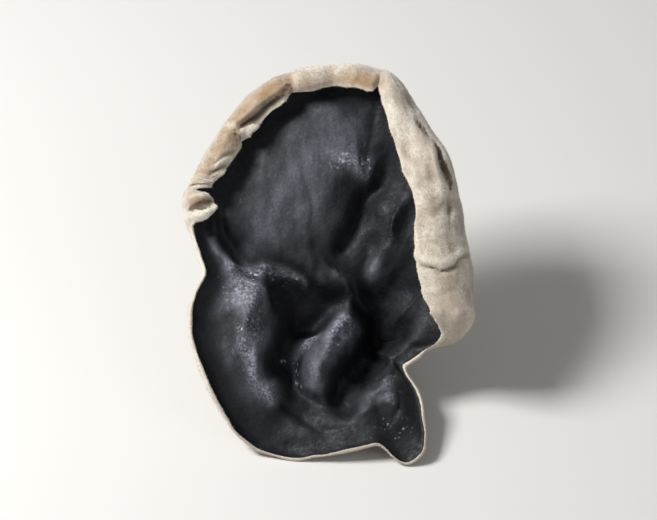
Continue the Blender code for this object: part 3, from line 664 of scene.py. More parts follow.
def swept(points, angles):
    """A skin whose curl is swept upwards beside the split."""
    above, under = SPLIT_SWEEP
    out = np.hypot(points[:, :, 0] - HUB[0], points[:, :, 1] - HUB[1])
    come_in = np.zeros_like(out)
    come_in[FACE_ROWS:] = np.maximum.accumulate(out[FACE_ROWS:], axis=0) - out[FACE_ROWS:]
    off = apart(angles, bearing(*NIPS[0][:2]))
    share = above + (under - above) * smooth_step(off, -SWEEP_EASE, SWEEP_EASE)
    points = points.copy()
    points[:, :, 1] += come_in * (share * np.exp(-((off / SWEEP_REACH) ** 2)))[None, :]
    return points


def noise(points, cell, seed):
    """Smooth noise from -1 to 1 at these points, whose bumps are about one cell wide. A cell may be three
    lengths, for bumps that are drawn out."""
    lattice = np.random.default_rng(seed).uniform(-1.0, 1.0, (LATTICE, LATTICE, LATTICE))
    place = points / np.array(cell, float)
    low = np.floor(place).astype(int)
    part = smooth_step(place - low, 0.0, 1.0)
    value = 0.0
    for corner in np.ndindex(2, 2, 2):
        weight = np.prod(np.where(corner, part, 1.0 - part), axis=-1)
        i, j, k = np.moveaxis((low + np.array(corner)) % LATTICE, -1, 0)
        value = value + weight * lattice[i, j, k]
    return value


def bumps(points, layers):
    """Layers of noise laid over each other, each given by its height, its cell and its seed."""
    return sum(height * noise(points, cell, seed) for height, cell, seed in layers)


def smooth_step(value, low, high):
    """0 below low, 1 above high, and eased between them."""
    t = np.clip((value - low) / (high - low), 0.0, 1.0)
    return t * t * (3.0 - 2.0 * t)


def unit(vectors):
    """These vectors at a length of 1."""
    return vectors / np.maximum(np.linalg.norm(vectors, axis=-1, keepdims=True), 1e-9)


def outward(grid):
    """Unit normals of a closed run of rows: up on the face, away from the flesh all round."""
    along = np.gradient(grid, axis=0)
    across = np.roll(grid, -1, axis=1) - np.roll(grid, 1, axis=1)
    return unit(np.cross(along, across))


def eased(grid, rounds):
    """The same grid with each value averaged with its neighbours, over and over."""
    for _ in range(rounds):
        grid = (grid + np.roll(grid, 1, axis=1) + np.roll(grid, -1, axis=1)) / 3.0
        grid[1:-1] = (grid[:-2] + grid[1:-1] + grid[2:]) / 3.0
    return grid


def vein_net(points):
    """Height of the net of raised veins on the back, from 0 in its meshes to 1 on a vein. The meshes are
    drawn out away from the hub."""
    x, y = (points[:, :, axis] + bumps(points, wander) for axis, wander in enumerate(VEIN_WANDER))
    out = np.hypot(x - HUB[0], y - HUB[1])
    turn = np.radians(bearing(x, y))
    rng = np.random.default_rng(VEIN_SEED)
    near = np.full(out.shape, np.inf)
    second = near.copy()
    for ring, count in zip(VEIN_RINGS, VEIN_MESHES):
        start = rng.uniform(0.0, 2.0 * math.pi)
        for k in range(count):
            angle = start + (k + rng.uniform(-VEIN_JITTER[0], VEIN_JITTER[0])) * 2.0 * math.pi / count
            far = ring + rng.uniform(-VEIN_JITTER[1], VEIN_JITTER[1])
            off = (turn - angle + math.pi) % (2.0 * math.pi) - math.pi
            side = out * np.sin(np.clip(off, -VEIN_SIDE, VEIN_SIDE))
            away = np.hypot(side, (out * np.cos(off) - far) / VEIN_DRAWN)
            second = np.minimum(second, np.maximum(near, away))
            near = np.minimum(near, away)
    return np.exp(-(((second - near) / VEIN_WIDTH) ** 2)) * smooth_step(out, *VEIN_START)


def colour(code):
    """Linear red, green, blue and alpha of an sRGB hex colour."""
    srgb = np.array([int(code[i : i + 2], 16) for i in (1, 3, 5)]) / 255.0
    linear = np.where(srgb <= 0.04045, srgb / 12.92, ((srgb + 0.055) / 1.055) ** 2.4)
    return (*linear.tolist(), 1.0)


def tint(name, description, code):
    """A colour that the user can change."""
    return FloatVectorProperty(
        name=name, description=description, default=colour(code), size=4, subtype="COLOR", min=0.0, max=1.0
    )


class CapLook(PropertyGroup):
    """Sizes and colours of the cap's skin."""

    fold_strength: FloatProperty(
        name="Folds", description="Height of the fine folds against the real ones", default=1.0, min=0.0,
        max=1.5, subtype="FACTOR",
    )
    vein_height: FloatProperty(
        name="Veins", description="How far the net of veins stands out of the back", default=0.55 * MM,
        min=0.0, max=1.0 * MM, unit="LENGTH",
    )
    # The face is black where neither bloom nor painted light lies, and charcoal in clouds where they lie
    skin_black: tint("Black skin", "Colour of the face in its hollows", "#111216")
    skin_grey: tint("Charcoal skin", "Colour of the face on its swellings", "#2a2c31")
    # Grey of the bloom of spores, which is also painted as light on the dome and the ridges
    skin_bloom_and_light: tint("Bloom", "Colour of the cloudy bloom on the face", "#83868f")
    # White of the specks: crumbs of spores, and painted glints
    specks_and_glints: tint("Specks", "Colour of the crumbs that the bloom gathers into", "#c9cad0")
    felt_pale: tint("Pale felt", "Colour of the felt where it is thickest", "#dad0bf")
    # Taupe of the felt's patches, and of the painted shade in its hollows
    felt_taupe_and_shade: tint("Taupe felt", "Colour of the felt in its hollows", "#9c8d78")
    felt_tan: tint("Tan felt", "Cast of the top left curl", "#996f30")
    felt_rosy: tint("Rosy felt", "Colour of the felt's faint patches", "#b39a86")
    felt_brown: tint("Brown mottling", "Colour of the worn spots of the felt", "#7a6853")
    # Painted highlight on the crests and lips of the curls
    felt_highlight: tint("Rubbed felt", "Colour of the crests and lips of the curls", "#efe7d8")
    felt_edge: tint("Edge of the felt", "Colour of the felt along the margin", "#ddd3c0")
    felt_root: tint("Roots of the felt", "Colour between the hairs", "#5d5140")
    hair_tip: tint("Tips of the hairs", "Colour that the hairs lighten to", "#eae2d3")
    # Dark brown painted as shade in the dents and creases of the curls
    dent_shade_brown: tint("Bare flesh", "Colour of the dents that are worn bare", "#432f16")
    cut_dark: tint("Dark rings of the cut", "Colour of the cut foot between its pale rings", "#5b4632")
    cut_pale: tint("Pale rings of the cut", "Colour of the pale rings of the cut foot", "#8a7357")


class NapLook(PropertyGroup):
    """Sizes of the short hairs of the felt."""

    length: FloatProperty(
        name="Length", description="Length of the longest hairs", default=0.32 * MM, min=0.05 * MM,
        max=2.0 * MM, unit="LENGTH",
    )
    width: FloatProperty(
        name="Width", description="Width of a hair at its root, drawn a little coarse so that it shows",
        default=0.055 * MM, min=0.01 * MM, max=0.3 * MM, unit="LENGTH",
    )
    per_mm2: FloatProperty(
        name="Hairs per mm²", description="How many hairs stand on a square millimetre of felt",
        default=26.0, min=0.0, max=28.0,
    )
    lean: FloatProperty(
        name="Lean", description="How far the hairs lean over, at most", default=math.radians(62.0),
        min=0.0, max=math.radians(85.0), subtype="ANGLE",
    )
    seed: IntProperty(name="Seed", description="Picks another scatter of the hairs", default=3, min=0)


class StageLook(PropertyGroup):
    """The floor, the lights and the camera."""

    floor: tint("Floor", "Colour of the floor", "#d2d0cc")
    sky_tone: tint("Sky colour", "Colour of the even light from all round", "#f4f6fa")
    sky: FloatProperty(
        name="Sky", description="Strength of the even light from all round", default=0.27, min=0.0, max=5.0,
    )
    key: FloatProperty(
        name="Key light", description="Power of the soft light at the upper left, in watts", default=2.8,
        min=0.0, max=100.0,
    )
    fill: FloatProperty(
        name="Fill light", description="Power of the broad light at the right, in watts", default=0.35,
        min=0.0, max=100.0,
    )
    elevation: FloatProperty(
        name="Camera height", description="Angle of the camera above the horizon",
        default=math.radians(44.0), min=0.0, max=math.radians(90.0), subtype="ANGLE",
    )
    distance: FloatProperty(
        name="Camera distance", description="From the camera to the middle of the mushroom", default=0.55,
        min=0.1, max=5.0, unit="LENGTH",
    )


def add(tree, kind, inputs=None, **settings):
    """Adds a node with its settings. inputs gives each socket, by name or number, its value or the output
    that feeds it."""
    node = tree.nodes.new(kind)
    for name, value in settings.items():
        setattr(node, name, value)
    for key, value in (inputs or {}).items():
        if isinstance(value, bpy.types.NodeSocket):
            tree.links.new(value, node.inputs[key])
        else:
            node.inputs[key].default_value = value
    return node


def new_material(name):
    """An empty material, with its tree and its shader."""
    material = bpy.data.materials.new(name)
    material.use_nodes = True
    tree = material.node_tree
    tree.nodes.clear()
    shader = add(tree, "ShaderNodeBsdfPrincipled", {"Metallic": 0.0})
    add(tree, "ShaderNodeOutputMaterial", {"Surface": shader.outputs[0]})
    return material, tree, shader


def mottle(tree, blotches, stretch=(1.0, 1.0, 1.0)):
    """A soft pattern of blotches, from 0 beside them to 1 on them."""
    size_mm, detail, low, high = blotches
    place = add(tree, "ShaderNodeTexCoord").outputs["Object"]
    turned = add(tree, "ShaderNodeMapping", {"Vector": place, "Scale": stretch})
    pattern = add(tree, "ShaderNodeTexNoise", {
        "Vector": turned.outputs[0], "Scale": 1.0 / (size_mm * MM), "Detail": detail, "Roughness": 0.6})
    shown = add(tree, "ShaderNodeMapRange", {
        "Value": pattern.outputs["Fac"], "From Min": low, "From Max": high}, interpolation_type="SMOOTHSTEP")
    return shown.outputs[0]


def times(tree, a, b):
    """The product of two values."""
    return add(tree, "ShaderNodeMath", {0: a, 1: b}, operation="MULTIPLY").outputs[0]


def between(tree, share, low, high):
    """A value that goes from low to high as share goes from 0 to 1."""
    return add(tree, "ShaderNodeMapRange", {"Value": share, "To Min": low, "To Max": high}).outputs[0]


def rising(tree, value, low, high):
    """A share that goes from 0 to 1 as value goes from low to high."""
    return add(tree, "ShaderNodeMapRange", {"Value": value, "From Min": low, "From Max": high}).outputs[0]


def mixed(tree, share, a, b):
    """Colour a passing into colour b as share goes from 0 to 1."""
    return add(tree, "ShaderNodeMix", {0: share, 6: a, 7: b}, data_type="RGBA").outputs[2]


def grained(tree, grain, over=None):
    """The surface with a grain on it, over a coarser one if that is given."""
    size_mm, detail, rough, strength, height_mm = grain
    place = add(tree, "ShaderNodeTexCoord").outputs["Object"]
    pattern = add(tree, "ShaderNodeTexNoise", {
        "Vector": place, "Scale": 1.0 / (size_mm * MM), "Detail": detail, "Roughness": rough})
    given = {"Height": pattern.outputs["Fac"], "Strength": strength, "Distance": height_mm * MM}
    if over:
        given["Normal"] = over
    return add(tree, "ShaderNodeBump", given).outputs[0]


def scatter(tree, size_mm):
    """A scatter of uneven soft dots, 0 beside them and up to 1 on them. A dot fits a cell of that size, and
    most of the cells are empty."""
    place = add(tree, "ShaderNodeTexCoord").outputs["Object"]
    ripples, push = DOT_UNEVEN
    bent = add(tree, "ShaderNodeTexNoise", {
        "Vector": place, "Scale": ripples / (size_mm * MM), "Detail": 2.0})
    cells = add(tree, "ShaderNodeTexVoronoi", {"Vector": place, "Scale": 1.0 / (size_mm * MM)})
    away = add(tree, "ShaderNodeMath", {
        0: cells.outputs["Distance"], 1: times(tree, bent.outputs["Fac"], push)}).outputs[0]
    kept = rising(tree, cells.outputs["Color"], *DOTS_KEPT)
    dots = times(tree, rising(tree, away, *DOT_EDGE), kept)
    return times(tree, dots, mottle(tree, SPECK_GROUPS))


def point_value(tree, name):
    """A value that the mesh carries on its points."""
    return add(tree, "ShaderNodeAttribute", attribute_name=name).outputs["Fac"]


# The face is the skin that bore the spores: jelly that has dried to a thin horny leather. It is black with a
# cast of blue, satin rather than matt, and old spores lie on its swellings as a cloudy bloom. The same grey
# is painted as light on the dome and the ridges, and the white specks on them are partly painted glints.
def dried_jelly_skin(look):
    """Material of the black face."""
    material, tree, shader = new_material("dried_jelly_skin")
    # The first value carries the bloom of spores and painted light on the dome and ridges, the second the
    # white specks and painted glints
    spores_and_light, speckled = point_value(tree, "bloom_and_light"), point_value(tree, "specks_and_glints")
    # the face turns from black to charcoal where the bloom and the painted light lie
    clouds = times(tree, mottle(tree, CLOUDS), between(tree, spores_and_light, 0.3, 1.0))
    base = mixed(tree, clouds, look.skin_black, look.skin_grey)
    smoke = between(tree, mottle(tree, SMOKE, SMOKE_DRAWN), 0.5, 1.0)
    gritty = between(
        tree, mottle(tree, GRIT), between(tree, speckled, 0.8, 0.35), between(tree, speckled, 1.0, 1.3)
    )
    base = mixed(tree, times(tree, spores_and_light, times(tree, smoke, gritty)), base, look.skin_bloom_and_light)
    # white specks, drawn coarse, from 0.2 mm across to 0.6 mm: crumbs of spores, and painted glints
    for apart_mm, white in SPECKS_DRAWN:
        dots = times(tree, scatter(tree, apart_mm), times(tree, speckled, white))
        base = mixed(tree, dots, base, look.specks_and_glints)
    # the margin is bare of black and as pale as the felt
    ragged = times(tree, point_value(tree, "edge"), between(tree, mottle(tree, MARGIN_RAGS), 0.7, 1.3))
    base = mixed(tree, rising(tree, ragged, 0.35, 0.85), base, look.felt_pale)
    tree.links.new(base, shader.inputs["Base Color"])
    tree.links.new(between(tree, mottle(tree, SATIN), 0.46, 0.70), shader.inputs["Roughness"])
    shader.inputs["IOR"].default_value = 1.48
    shader.inputs["Specular IOR Level"].default_value = 0.28
    # a grain of about 0.2 mm, as of fine leather, over shallow puckers of 1 mm
    tree.links.new(grained(tree, LEATHER, grained(tree, PUCKER)), shader.inputs["Normal"])
    return material


def felt_colour(tree, look):
    """Colour of the felt at each place: pale where it is thick, taupe in patches and as painted shade in the
    hollows, tan on the top left curl, with rosy and brown patches, painted highlights on crests and lips, and
    dark brown painted as shade in the dents."""
    ragged = add(tree, "ShaderNodeMath", {
        0: point_value(tree, "dent_shade"), 1: between(tree, mottle(tree, DENT_SHADE_RAGS), -0.3, 0.3)}).outputs[0]
    base = mixed(tree, mottle(tree, FELT_PATCHES), look.felt_pale, look.felt_taupe_and_shade)
    for shown, most, tone in (
        # painted shade: the hollows of the felt are taupe
        (point_value(tree, "taupe_and_shade"), 0.85, look.felt_taupe_and_shade),
        (point_value(tree, "tan"), 0.9, look.felt_tan),
        (mottle(tree, ROSY_PATCHES), 0.5, look.felt_rosy),
        (mottle(tree, BROWN_PATCHES), 0.42, look.felt_brown),
        (mottle(tree, BROWN_DOTS), 0.7, look.felt_brown),
        # painted highlights on crests and lips
        (point_value(tree, "pale"), 0.6, look.felt_highlight),
        # painted shade, dark brown, in the dents and creases
        (rising(tree, ragged, 0.40, 0.65), 0.95, look.dent_shade_brown),
        (point_value(tree, "vein"), 0.7, look.felt_pale),
        (point_value(tree, "edge"), 0.7, look.felt_edge),
    ):
        base = mixed(tree, times(tree, shown, most), base, tone)
    return base


# The back is covered with short dense hairs of chitin, dried to a dull felt: no gloss, a faint halo where it
# is seen along the hairs, and a streaky tooth 0.2 mm wide.
def short_felt(look):
    """Material of the felted back under its hairs."""
    material, tree, shader = new_material("short_felt")
    base = mixed(tree, times(tree, mottle(tree, FELT_STREAKS), 0.30), felt_colour(tree, look), look.felt_root)
    tree.links.new(base, shader.inputs["Base Color"])
    shader.inputs["Roughness"].default_value = 0.92
    shader.inputs["Specular IOR Level"].default_value = 0.25
    shader.inputs["Sheen Weight"].default_value = 0.8
    shader.inputs["Sheen Roughness"].default_value = 0.6
    tree.links.new(grained(tree, TOOTH), shader.inputs["Normal"])
    return material


# One hair is a dry, hollow thread of chitin, a little lighter at its tip than the felt below it, and less so
# on the tan curl.
def dry_hair(look):
    """Material of the hairs of the felt."""
    material, tree, shader = new_material("dry_hair")
    tip = times(tree, point_value(tree, "tone"), between(tree, point_value(tree, "tan"), 0.6, 0.25))
    tree.links.new(mixed(tree, tip, felt_colour(tree, look), look.hair_tip), shader.inputs["Base Color"])
    shader.inputs["Sheen Weight"].default_value = 0.8
    shader.inputs["Sheen Roughness"].default_value = 0.5
    shader.inputs["Roughness"].default_value = 0.8
    shader.inputs["Specular IOR Level"].default_value = 0.3
    return material


# The foot was cut through while fresh: dense flesh that has dried hard, brown and slightly waxy.
def cut_flesh(look):
    """Material of the flat cut under the foot."""
    material, tree, shader = new_material("cut_flesh")
    base = mixed(tree, mottle(tree, CUT_RINGS), look.cut_dark, look.cut_pale)
    tree.links.new(base, shader.inputs["Base Color"])
    shader.inputs["Roughness"].default_value = 0.55
    place = add(tree, "ShaderNodeTexCoord").outputs["Object"]
    pores = add(tree, "ShaderNodeTexVoronoi", {"Vector": place, "Scale": 1.0 / (CUT_PORES * MM)})
    bump = add(tree, "ShaderNodeBump", {
        "Height": pores.outputs["Distance"], "Strength": 0.5, "Distance": 0.05 * MM})
    tree.links.new(bump.outputs[0], shader.inputs["Normal"])
    return material


def run_length(grid, axis):
    """How far each point lies along its row or column, in mm."""
    step = np.linalg.norm(np.diff(grid, axis=axis), axis=2)
    return np.insert(np.cumsum(step, axis=axis), 0, 0.0, axis=axis)


def sum_of(folds, points):
    """Height of all these folds together, as seen from in front of the face."""
    x, y = drift(points[:, :, 0], points[:, :, 1])
    return sum(crest(x, y, steepness, line) for steepness, line in folds)


def cap_rows(look):
    """The rows of the whole skin, from the hub of the face over the margin to the hub of the back, and the
    values that each point carries."""
    front, back, angles = skins()
    rolled = smooth_step(rim_values(angles)[2], *ROLLED)[None, :]
    in_face = 1.0 - smooth_step(np.arange(len(front))[:, None], FACE_ROWS - FADE_ROWS, FACE_ROWS)
    in_roll = 1.0 - in_face
    to_edge = run_length(front[::-1], 0)[::-1]
    along = np.broadcast_to(run_length(front, 1)[-1], to_edge.shape)
    at_edge = np.exp(-((to_edge / SWAY_REACH) ** 2))

    # both skins sway together at the margin, and the edge of a curl runs in and out
    up, down = outward(front), -outward(back)
    sway = bumps(front, SWAY) * at_edge
    outwards = unit(np.gradient(front, axis=0)) * np.exp(-((to_edge / FRAY_REACH) ** 2))[:, :, None]
    outwards = outwards * (bumps(front[-1], FRAY) * rolled[0])[None, :, None]
    # the face
    # the bloom of spores, with painted light on the dome and the ridges
    bloom_and_light = np.clip(sum_of(BLOOM_AND_LIGHT, front), 0.0, 1.0) * in_face
    fine = bumps(front, FACE_SWELLS) + (1.0 + bloom_and_light) * bumps(front, FACE_LUMPS)
    lift = look.fold_strength * (sum_of(FACE_FOLDS, front) * in_face + fine)
    # the back
    nets = vein_net(back) * (1.0 - VEINS_LOST * in_roll)
    flow = np.stack([along, to_edge, np.zeros_like(along)], axis=2)
    shown = smooth_step(down[:, :, 2], *FACING) * in_roll * rolled
    creased = look.fold_strength * sum_of(ROLL_FOLDS, back) * shown
    lumps = bumps(back, BACK_LUMPS) * (1.0 - LUMPS_LOST * in_roll)
    growth = look.fold_strength * (lumps + bumps(flow, STREAKS) * in_roll * rolled)
    growth = growth + look.vein_height / MM * nets

    high = smooth_step(front[:, :, 2] + lift - eased(front[:, :, 2], EVENED_FACE), *HIGH)
    front = front + up * (lift + sway)[:, :, None] + down * creased[:, :, None] + outwards
    back = back + down * (growth + creased - sway)[:, :, None] + outwards

    # painted light: more of the bloom's grey on all that stands high on the face
    bloom_and_light = np.clip(bloom_and_light + HIGH_BLOOM_AND_LIGHT * high * in_face, 0.0, 1.0)
    # where the felt's relief is sunk it gets painted shade, where it stands out a painted highlight
    relief = growth + creased
    standing = relief - eased(relief, EVENED)
    sunk, raised = smooth_step(-standing, *SUNK), smooth_step(standing, *RAISED)
    bare = smooth_step(front[-1, :, 1], *DULL_BELOW)[None, :]
    band = np.exp(-((to_edge / (EDGE_BAND * (DULL_WIDTH + (1.0 - DULL_WIDTH) * bare))) ** 2))
    band = band * (DULL_TONE + (1.0 - DULL_TONE) * bare)
    # painted shade: taupe in the sunk hollows of the felt, some taupe on the whole back outside the curls,
    # and taupe near the margin along the bottom of the cap
    taupe_and_shade = sunk + BACK_TAUPE * (1.0 - in_roll) + (1.0 - bare) * at_edge
    # painted shade, dark brown, in the listed dents and creases of the curls
    dent_shade = np.clip(DENT_SHADE_GAIN * sum_of(SHADED_DENTS, back), 0.0, 1.0) * shown
    zero = np.zeros_like(bloom_and_light)
    carried = {
        "bloom_and_light": (bloom_and_light, zero),
        "edge": (band, band),
        "vein": (zero, nets),
        "taupe_and_shade": (zero, np.clip(taupe_and_shade, 0.0, 1.0)),
        "tan": (zero, np.clip(sum_of(TAN, back), 0.0, 1.0) * in_roll),
        # painted highlights on the listed crests and lips, and on the crests that stand out of the relief
        "pale": (zero, np.clip(sum_of(PAINTED_HIGHLIGHTS, back) + RAISED_HIGHLIGHT * raised, 0.0, 1.0) * shown),
        # the specks and painted glints, at the listed places and over all of the bloom and painted light
        "specks_and_glints": (np.clip(sum_of(SPECKS_AND_GLINTS, front) + SPECKS_ON_BLOOM_AND_LIGHT * bloom_and_light, 0.0, 1.0) * in_face, zero),
        "dent_shade": (zero, dent_shade),
        "nap": (zero, 1.0 - dent_shade),
    }
    return front, back, carried


def with_margin(front, back):
    """One grid of both skins, joined at the free edge by a rounded margin."""
    out = unit(front[-1] - front[-2])
    middle, half = (front[-1] + back[-1]) / 2.0, (front[-1] - back[-1]) / 2.0
    bulge = []
    for k in range(1, MARGIN_ROWS + 1):
        t = math.pi * k / (MARGIN_ROWS + 1)
        bulge.append(middle + half * math.cos(t) + out * MARGIN_BULGE * math.sin(t))
    return np.concatenate([front[1:], np.array(bulge), back[:0:-1]])


def joined_values(pair):
    """A carried value on the same grid, with the back's on the margin."""
    on_front, on_back = pair
    margin = np.repeat(on_back[-1:], MARGIN_ROWS, axis=0)
    return np.concatenate([on_front[1:], margin, on_back[:0:-1]])


def cap_mesh(look):
    """Mesh of the cap where it lies, with its values as attributes and its three materials."""
    front, back, carried = cap_rows(look)
    grid = with_margin(front, back)
    rows, columns = grid.shape[:2]
    ids = np.arange(rows * columns).reshape(rows, columns)
    following = np.roll(ids, -1, axis=1)
    quads = np.stack([ids[:-1], ids[1:], following[1:], following[:-1]], axis=2).reshape(-1, 4)
    hubs = (rows * columns, rows * columns + 1)
    first = [(hubs[0], a, b) for a, b in zip(ids[0], following[0])]
    last = [(hubs[1], b, a) for a, b in zip(ids[-1], following[-1])]
    points = np.concatenate([grid.reshape(-1, 3), front[:1, 0], back[:1].mean(axis=1)])
    lean = np.array(Matrix.Rotation(math.radians(LEAN), 3, "X"))
    points = (points @ lean.T + np.array(TO_TABLE)) * MM
    mesh = bpy.data.meshes.new("wood_ear_cap")
    mesh.from_pydata(points.tolist(), [], quads.tolist() + first + last)
    slots = np.concatenate([
        np.repeat(np.arange(rows - 1) >= len(front) - 2, columns), np.zeros(columns), np.ones(columns)])
    mesh.polygons.foreach_set("material_index", slots.astype(int))
    mesh.polygons.foreach_set("use_smooth", np.ones(len(slots), bool))
    for name, pair in carried.items():
        values = joined_values(pair).ravel()
        values = np.append(values, (pair[0][0, 0], pair[1][0, 0]))
        mesh.attributes.new(name, "FLOAT", "POINT").data.foreach_set("value", values.astype(np.float32))
    cut_off(mesh)
    return mesh


def cut_off(mesh):
    """Cuts the foot off flat in the plane of the table. No hair grows near the cut."""
    body = bmesh.new()
    body.from_mesh(mesh)
    geometry = body.verts[:] + body.edges[:] + body.faces[:]
    cut = bmesh.ops.bisect_plane(
        body, geom=geometry, dist=1e-7, plane_co=(0, 0, 0), plane_no=(0, 0, -1), clear_outer=True
    )
    edges = [e for e in cut["geom_cut"] if isinstance(e, bmesh.types.BMEdge)]
    for face in bmesh.ops.holes_fill(body, edges=edges)["faces"]:
        face.material_index = CUT_SLOT
        face.smooth = False
    nap = body.verts.layers.float["nap"]
    for vert in body.verts:
        if vert.co.z < BARE_BELOW * MM:
            vert[nap] = 0.0
    body.to_mesh(mesh)
    body.free()


class WOODEAR_OT_cap(Operator):
    """Build the skin of the cap, from the black face over the curled rim to the felted back"""

    bl_idname = "wood_ear.cap"
    bl_label = "Cap"

    def execute(self, context):
        look = context.scene.wood_ear_cap
        mesh = cap_mesh(look)
        for material in (dried_jelly_skin(look), short_felt(look), cut_flesh(look)):
            mesh.materials.append(material)
        cap = bpy.data.objects.new("wood_ear_cap", mesh)
        context.scene.collection.objects.link(cap)
        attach(cap, "root")
        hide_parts("wood_ear")
        return {"FINISHED"}


def nap_tree(material):
    """Geometry nodes that grow hairs out of a mesh, most where its attribute nap is 1."""
    tree = bpy.data.node_groups.new("wood_ear_nap", "GeometryNodeTree")
    face = tree.interface
    face.new_socket("Geometry", in_out="INPUT", socket_type="NodeSocketGeometry")
    for name in ("Density", "Length", "Width", "Lean"):
        face.new_socket(name, in_out="INPUT", socket_type="NodeSocketFloat")
    face.new_socket("Seed", in_out="INPUT", socket_type="NodeSocketInt")
    face.new_socket("Geometry", in_out="OUTPUT", socket_type="NodeSocketGeometry")
    given = add(tree, "NodeGroupInput").outputs
    nap = add(tree, "GeometryNodeInputNamedAttribute", {"Name": "nap"}, data_type="FLOAT")
    density = add(tree, "ShaderNodeMath", {0: given["Density"], 1: nap.outputs[0]}, operation="MULTIPLY")
    roots = add(tree, "GeometryNodeDistributePointsOnFaces", {
        "Mesh": given["Geometry"], "Density": density.outputs[0], "Seed": given["Seed"]})
    tone = add(tree, "FunctionNodeRandomValue", {2: 0.0, 3: 1.0, "Seed": 1}, data_type="FLOAT")
    toned = add(tree, "GeometryNodeStoreNamedAttribute", {
        "Geometry": roots.outputs["Points"], "Name": "tone", "Value": tone.outputs[1]}, data_type="FLOAT")
    hair = add(tree, "GeometryNodeMeshCone", {
        "Vertices": 3, "Side Segments": 1, "Radius Top": 0.0, "Radius Bottom": 0.5, "Depth": 1.0},
        fill_type="NONE")
    spin = add(tree, "FunctionNodeRandomValue", {
        0: (0.0, 0.0, 0.0), 1: (0.0, 0.0, 2.0 * math.pi), "Seed": 2}, data_type="FLOAT_VECTOR")
    share = add(tree, "FunctionNodeRandomValue", {2: 0.1, 3: 1.0, "Seed": 3}, data_type="FLOAT")
    tilt = add(tree, "ShaderNodeMath", {0: share.outputs[1], 1: given["Lean"]}, operation="MULTIPLY")
    over = add(tree, "ShaderNodeCombineXYZ", {"X": tilt.outputs[0]})
    spun = add(tree, "FunctionNodeRotateRotation", {
        "Rotation": roots.outputs["Rotation"], "Rotate By": spin.outputs[0]}, rotation_space="LOCAL")
    leant = add(tree, "FunctionNodeRotateRotation", {
        "Rotation": spun.outputs[0], "Rotate By": over.outputs[0]}, rotation_space="LOCAL")
    part = add(tree, "FunctionNodeRandomValue", {2: 0.4, 3: 1.0, "Seed": 4}, data_type="FLOAT")
    long = add(tree, "ShaderNodeMath", {0: part.outputs[1], 1: given["Length"]}, operation="MULTIPLY")
    size = add(tree, "ShaderNodeCombineXYZ", {
        "X": given["Width"], "Y": given["Width"], "Z": long.outputs[0]})
    hairs = add(tree, "GeometryNodeInstanceOnPoints", {
        "Points": toned.outputs[0], "Instance": hair.outputs["Mesh"], "Rotation": leant.outputs[0],
        "Scale": size.outputs[0]})
    real = add(tree, "GeometryNodeRealizeInstances", {"Geometry": hairs.outputs[0]})
    done = add(tree, "GeometryNodeSetMaterial", {"Geometry": real.outputs[0], "Material": material})
    add(tree, "NodeGroupOutput", {"Geometry": done.outputs[0]})
    return tree


def made_by(name, tree, values, mesh):
    """A plain mesh made by geometry nodes from another mesh, with these values for their named inputs."""
    carrier = bpy.data.objects.new(name, mesh)
    bpy.context.scene.collection.objects.link(carrier)
    modifier = carrier.modifiers.new("grow", "NODES")
    modifier.node_group = tree
    for item in tree.interface.items_tree:
        if item.in_out == "INPUT" and item.name in values:
            modifier[item.identifier] = values[item.name]
    bpy.context.view_layer.update()
    evaluated = carrier.evaluated_get(bpy.context.evaluated_depsgraph_get())
    made = bpy.data.meshes.new_from_object(evaluated)
    carrier.modifiers.remove(modifier)
    carrier.data = made
    made.name = name
    return carrier


class WOODEAR_OT_nap(Operator):
    """Grow the short hairs of the felt out of the back of the cap"""

    bl_idname = "wood_ear.nap"
    bl_label = "Nap"

    def execute(self, context):
        look, cap = context.scene.wood_ear_nap, bpy.data.objects["wood_ear_cap"]
        tree = nap_tree(dry_hair(context.scene.wood_ear_cap))
        layers = ("wood_ear_nap", "wood_ear_undernap")  # two, because one would have too many triangles
        values = {"Density": look.per_mm2 / len(layers) / MM**2, "Length": look.length, "Width": look.width,
                  "Lean": look.lean}
        for k, name in enumerate(layers):
            nap = made_by(name, tree, values | {"Seed": look.seed + k}, cap.data)
            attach(nap, "root")
        return {"FINISHED"}


# The floor is plain card, matt all over.
def matt_card(name, tone):
    """Material of the floor."""
    material, _, shader = new_material(name)
    shader.inputs["Base Color"].default_value = tone
    shader.inputs["Roughness"].default_value = 0.9
    return material


def soft_light(name, place, aim, size, power):
    """A square area light that looks at a point."""
    data = bpy.data.lights.new(name, "AREA")
    data.energy, data.size = power, size
    light = bpy.data.objects.new(name, data)
    light.location = place
    light.rotation_euler = (Vector(aim) - Vector(place)).to_track_quat("-Z", "Y").to_euler()
    bpy.context.scene.collection.objects.link(light)


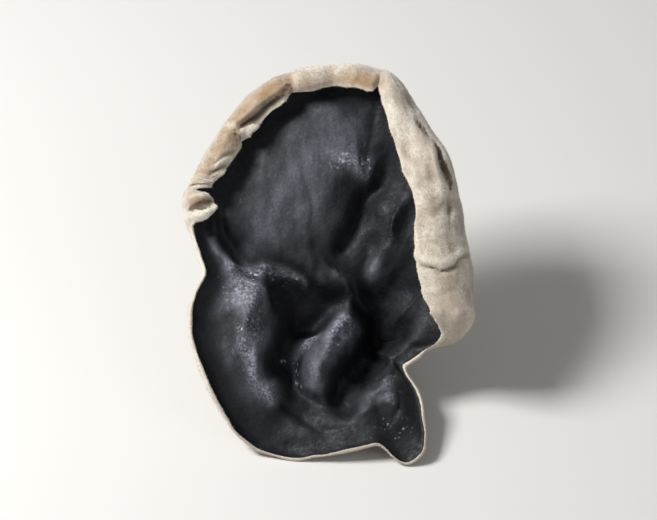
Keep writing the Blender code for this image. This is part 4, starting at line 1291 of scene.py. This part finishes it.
class WOODEAR_OT_stage(Operator):
    """Set up the floor, the lights and the camera"""

    bl_idname = "wood_ear.stage"
    bl_label = "Stage"

    def execute(self, context):
        look, scene = context.scene.wood_ear_stage, context.scene
        low, high = SOLID_BOX
        aim = (low + high) / 2.0
        half = FLOOR_HALF
        mesh = bpy.data.meshes.new("floor")
        mesh.from_pydata([(-half, -half, 0), (half, -half, 0), (half, half, 0), (-half, half, 0)], [],
                         [(0, 1, 2, 3)])
        mesh.materials.append(matt_card("pale_floor", look.floor))
        floor = bpy.data.objects.new("floor", mesh)
        scene.collection.objects.link(floor)
        soft_light("key", KEY_PLACE, aim, KEY_SIZE, look.key)
        soft_light("fill", FILL_PLACE, aim, FILL_SIZE, look.fill)
        world = bpy.data.worlds.new("studio")
        world.use_nodes = True
        sky = world.node_tree.nodes["Background"]
        sky.inputs["Color"].default_value = look.sky_tone
        sky.inputs["Strength"].default_value = look.sky
        scene.world = world
        scene.view_settings.view_transform = "Standard"
        lens = bpy.data.cameras.new("camera")
        lens.lens, lens.sensor_width, lens.clip_start = CAMERA_LENS, CAMERA_SENSOR, CAMERA_NEAR
        camera = bpy.data.objects.new("camera", lens)
        back = Vector((0.0, -math.cos(look.elevation), math.sin(look.elevation)))
        camera.location = aim + back * look.distance
        camera.rotation_euler = (-back).to_track_quat("-Z", "Y").to_euler()
        scene.collection.objects.link(camera)
        scene.camera = camera
        return {"FINISHED"}


class WOODEAR_PT_panel(Panel):
    """Lists what the add-on builds and the sizes and colours that it is built with"""

    bl_label = "Wood ear"
    bl_idname = "WOODEAR_PT_panel"
    bl_space_type = "VIEW_3D"
    bl_region_type = "UI"
    bl_category = "Wood ear"

    def draw(self, context):
        for operator, looks in ((WOODEAR_OT_cap, "wood_ear_cap"), (WOODEAR_OT_nap, "wood_ear_nap"),
                                (WOODEAR_OT_stage, "wood_ear_stage")):
            box = self.layout.box()
            box.operator(operator.bl_idname)
            group = getattr(context.scene, looks)
            for name in group.__annotations__:
                box.prop(group, name)


CLASSES = (CapLook, NapLook, StageLook, WOODEAR_OT_cap, WOODEAR_OT_nap, WOODEAR_OT_stage, WOODEAR_PT_panel)


def register():
    """Registers the classes and gives the scene their settings."""
    for entry in CLASSES:
        bpy.utils.register_class(entry)
    bpy.types.Scene.wood_ear_cap = PointerProperty(type=CapLook)
    bpy.types.Scene.wood_ear_nap = PointerProperty(type=NapLook)
    bpy.types.Scene.wood_ear_stage = PointerProperty(type=StageLook)


def unregister():
    """Takes away what register has set up."""
    for name in ("wood_ear_cap", "wood_ear_nap", "wood_ear_stage"):
        delattr(bpy.types.Scene, name)
    for entry in reversed(CLASSES):
        bpy.utils.unregister_class(entry)


def main():
    """Builds everything."""
    register()
    bpy.ops.wood_ear.cap()
    bpy.ops.wood_ear.nap()
    bpy.ops.wood_ear.stage()


if __name__ == "__main__":
    main()
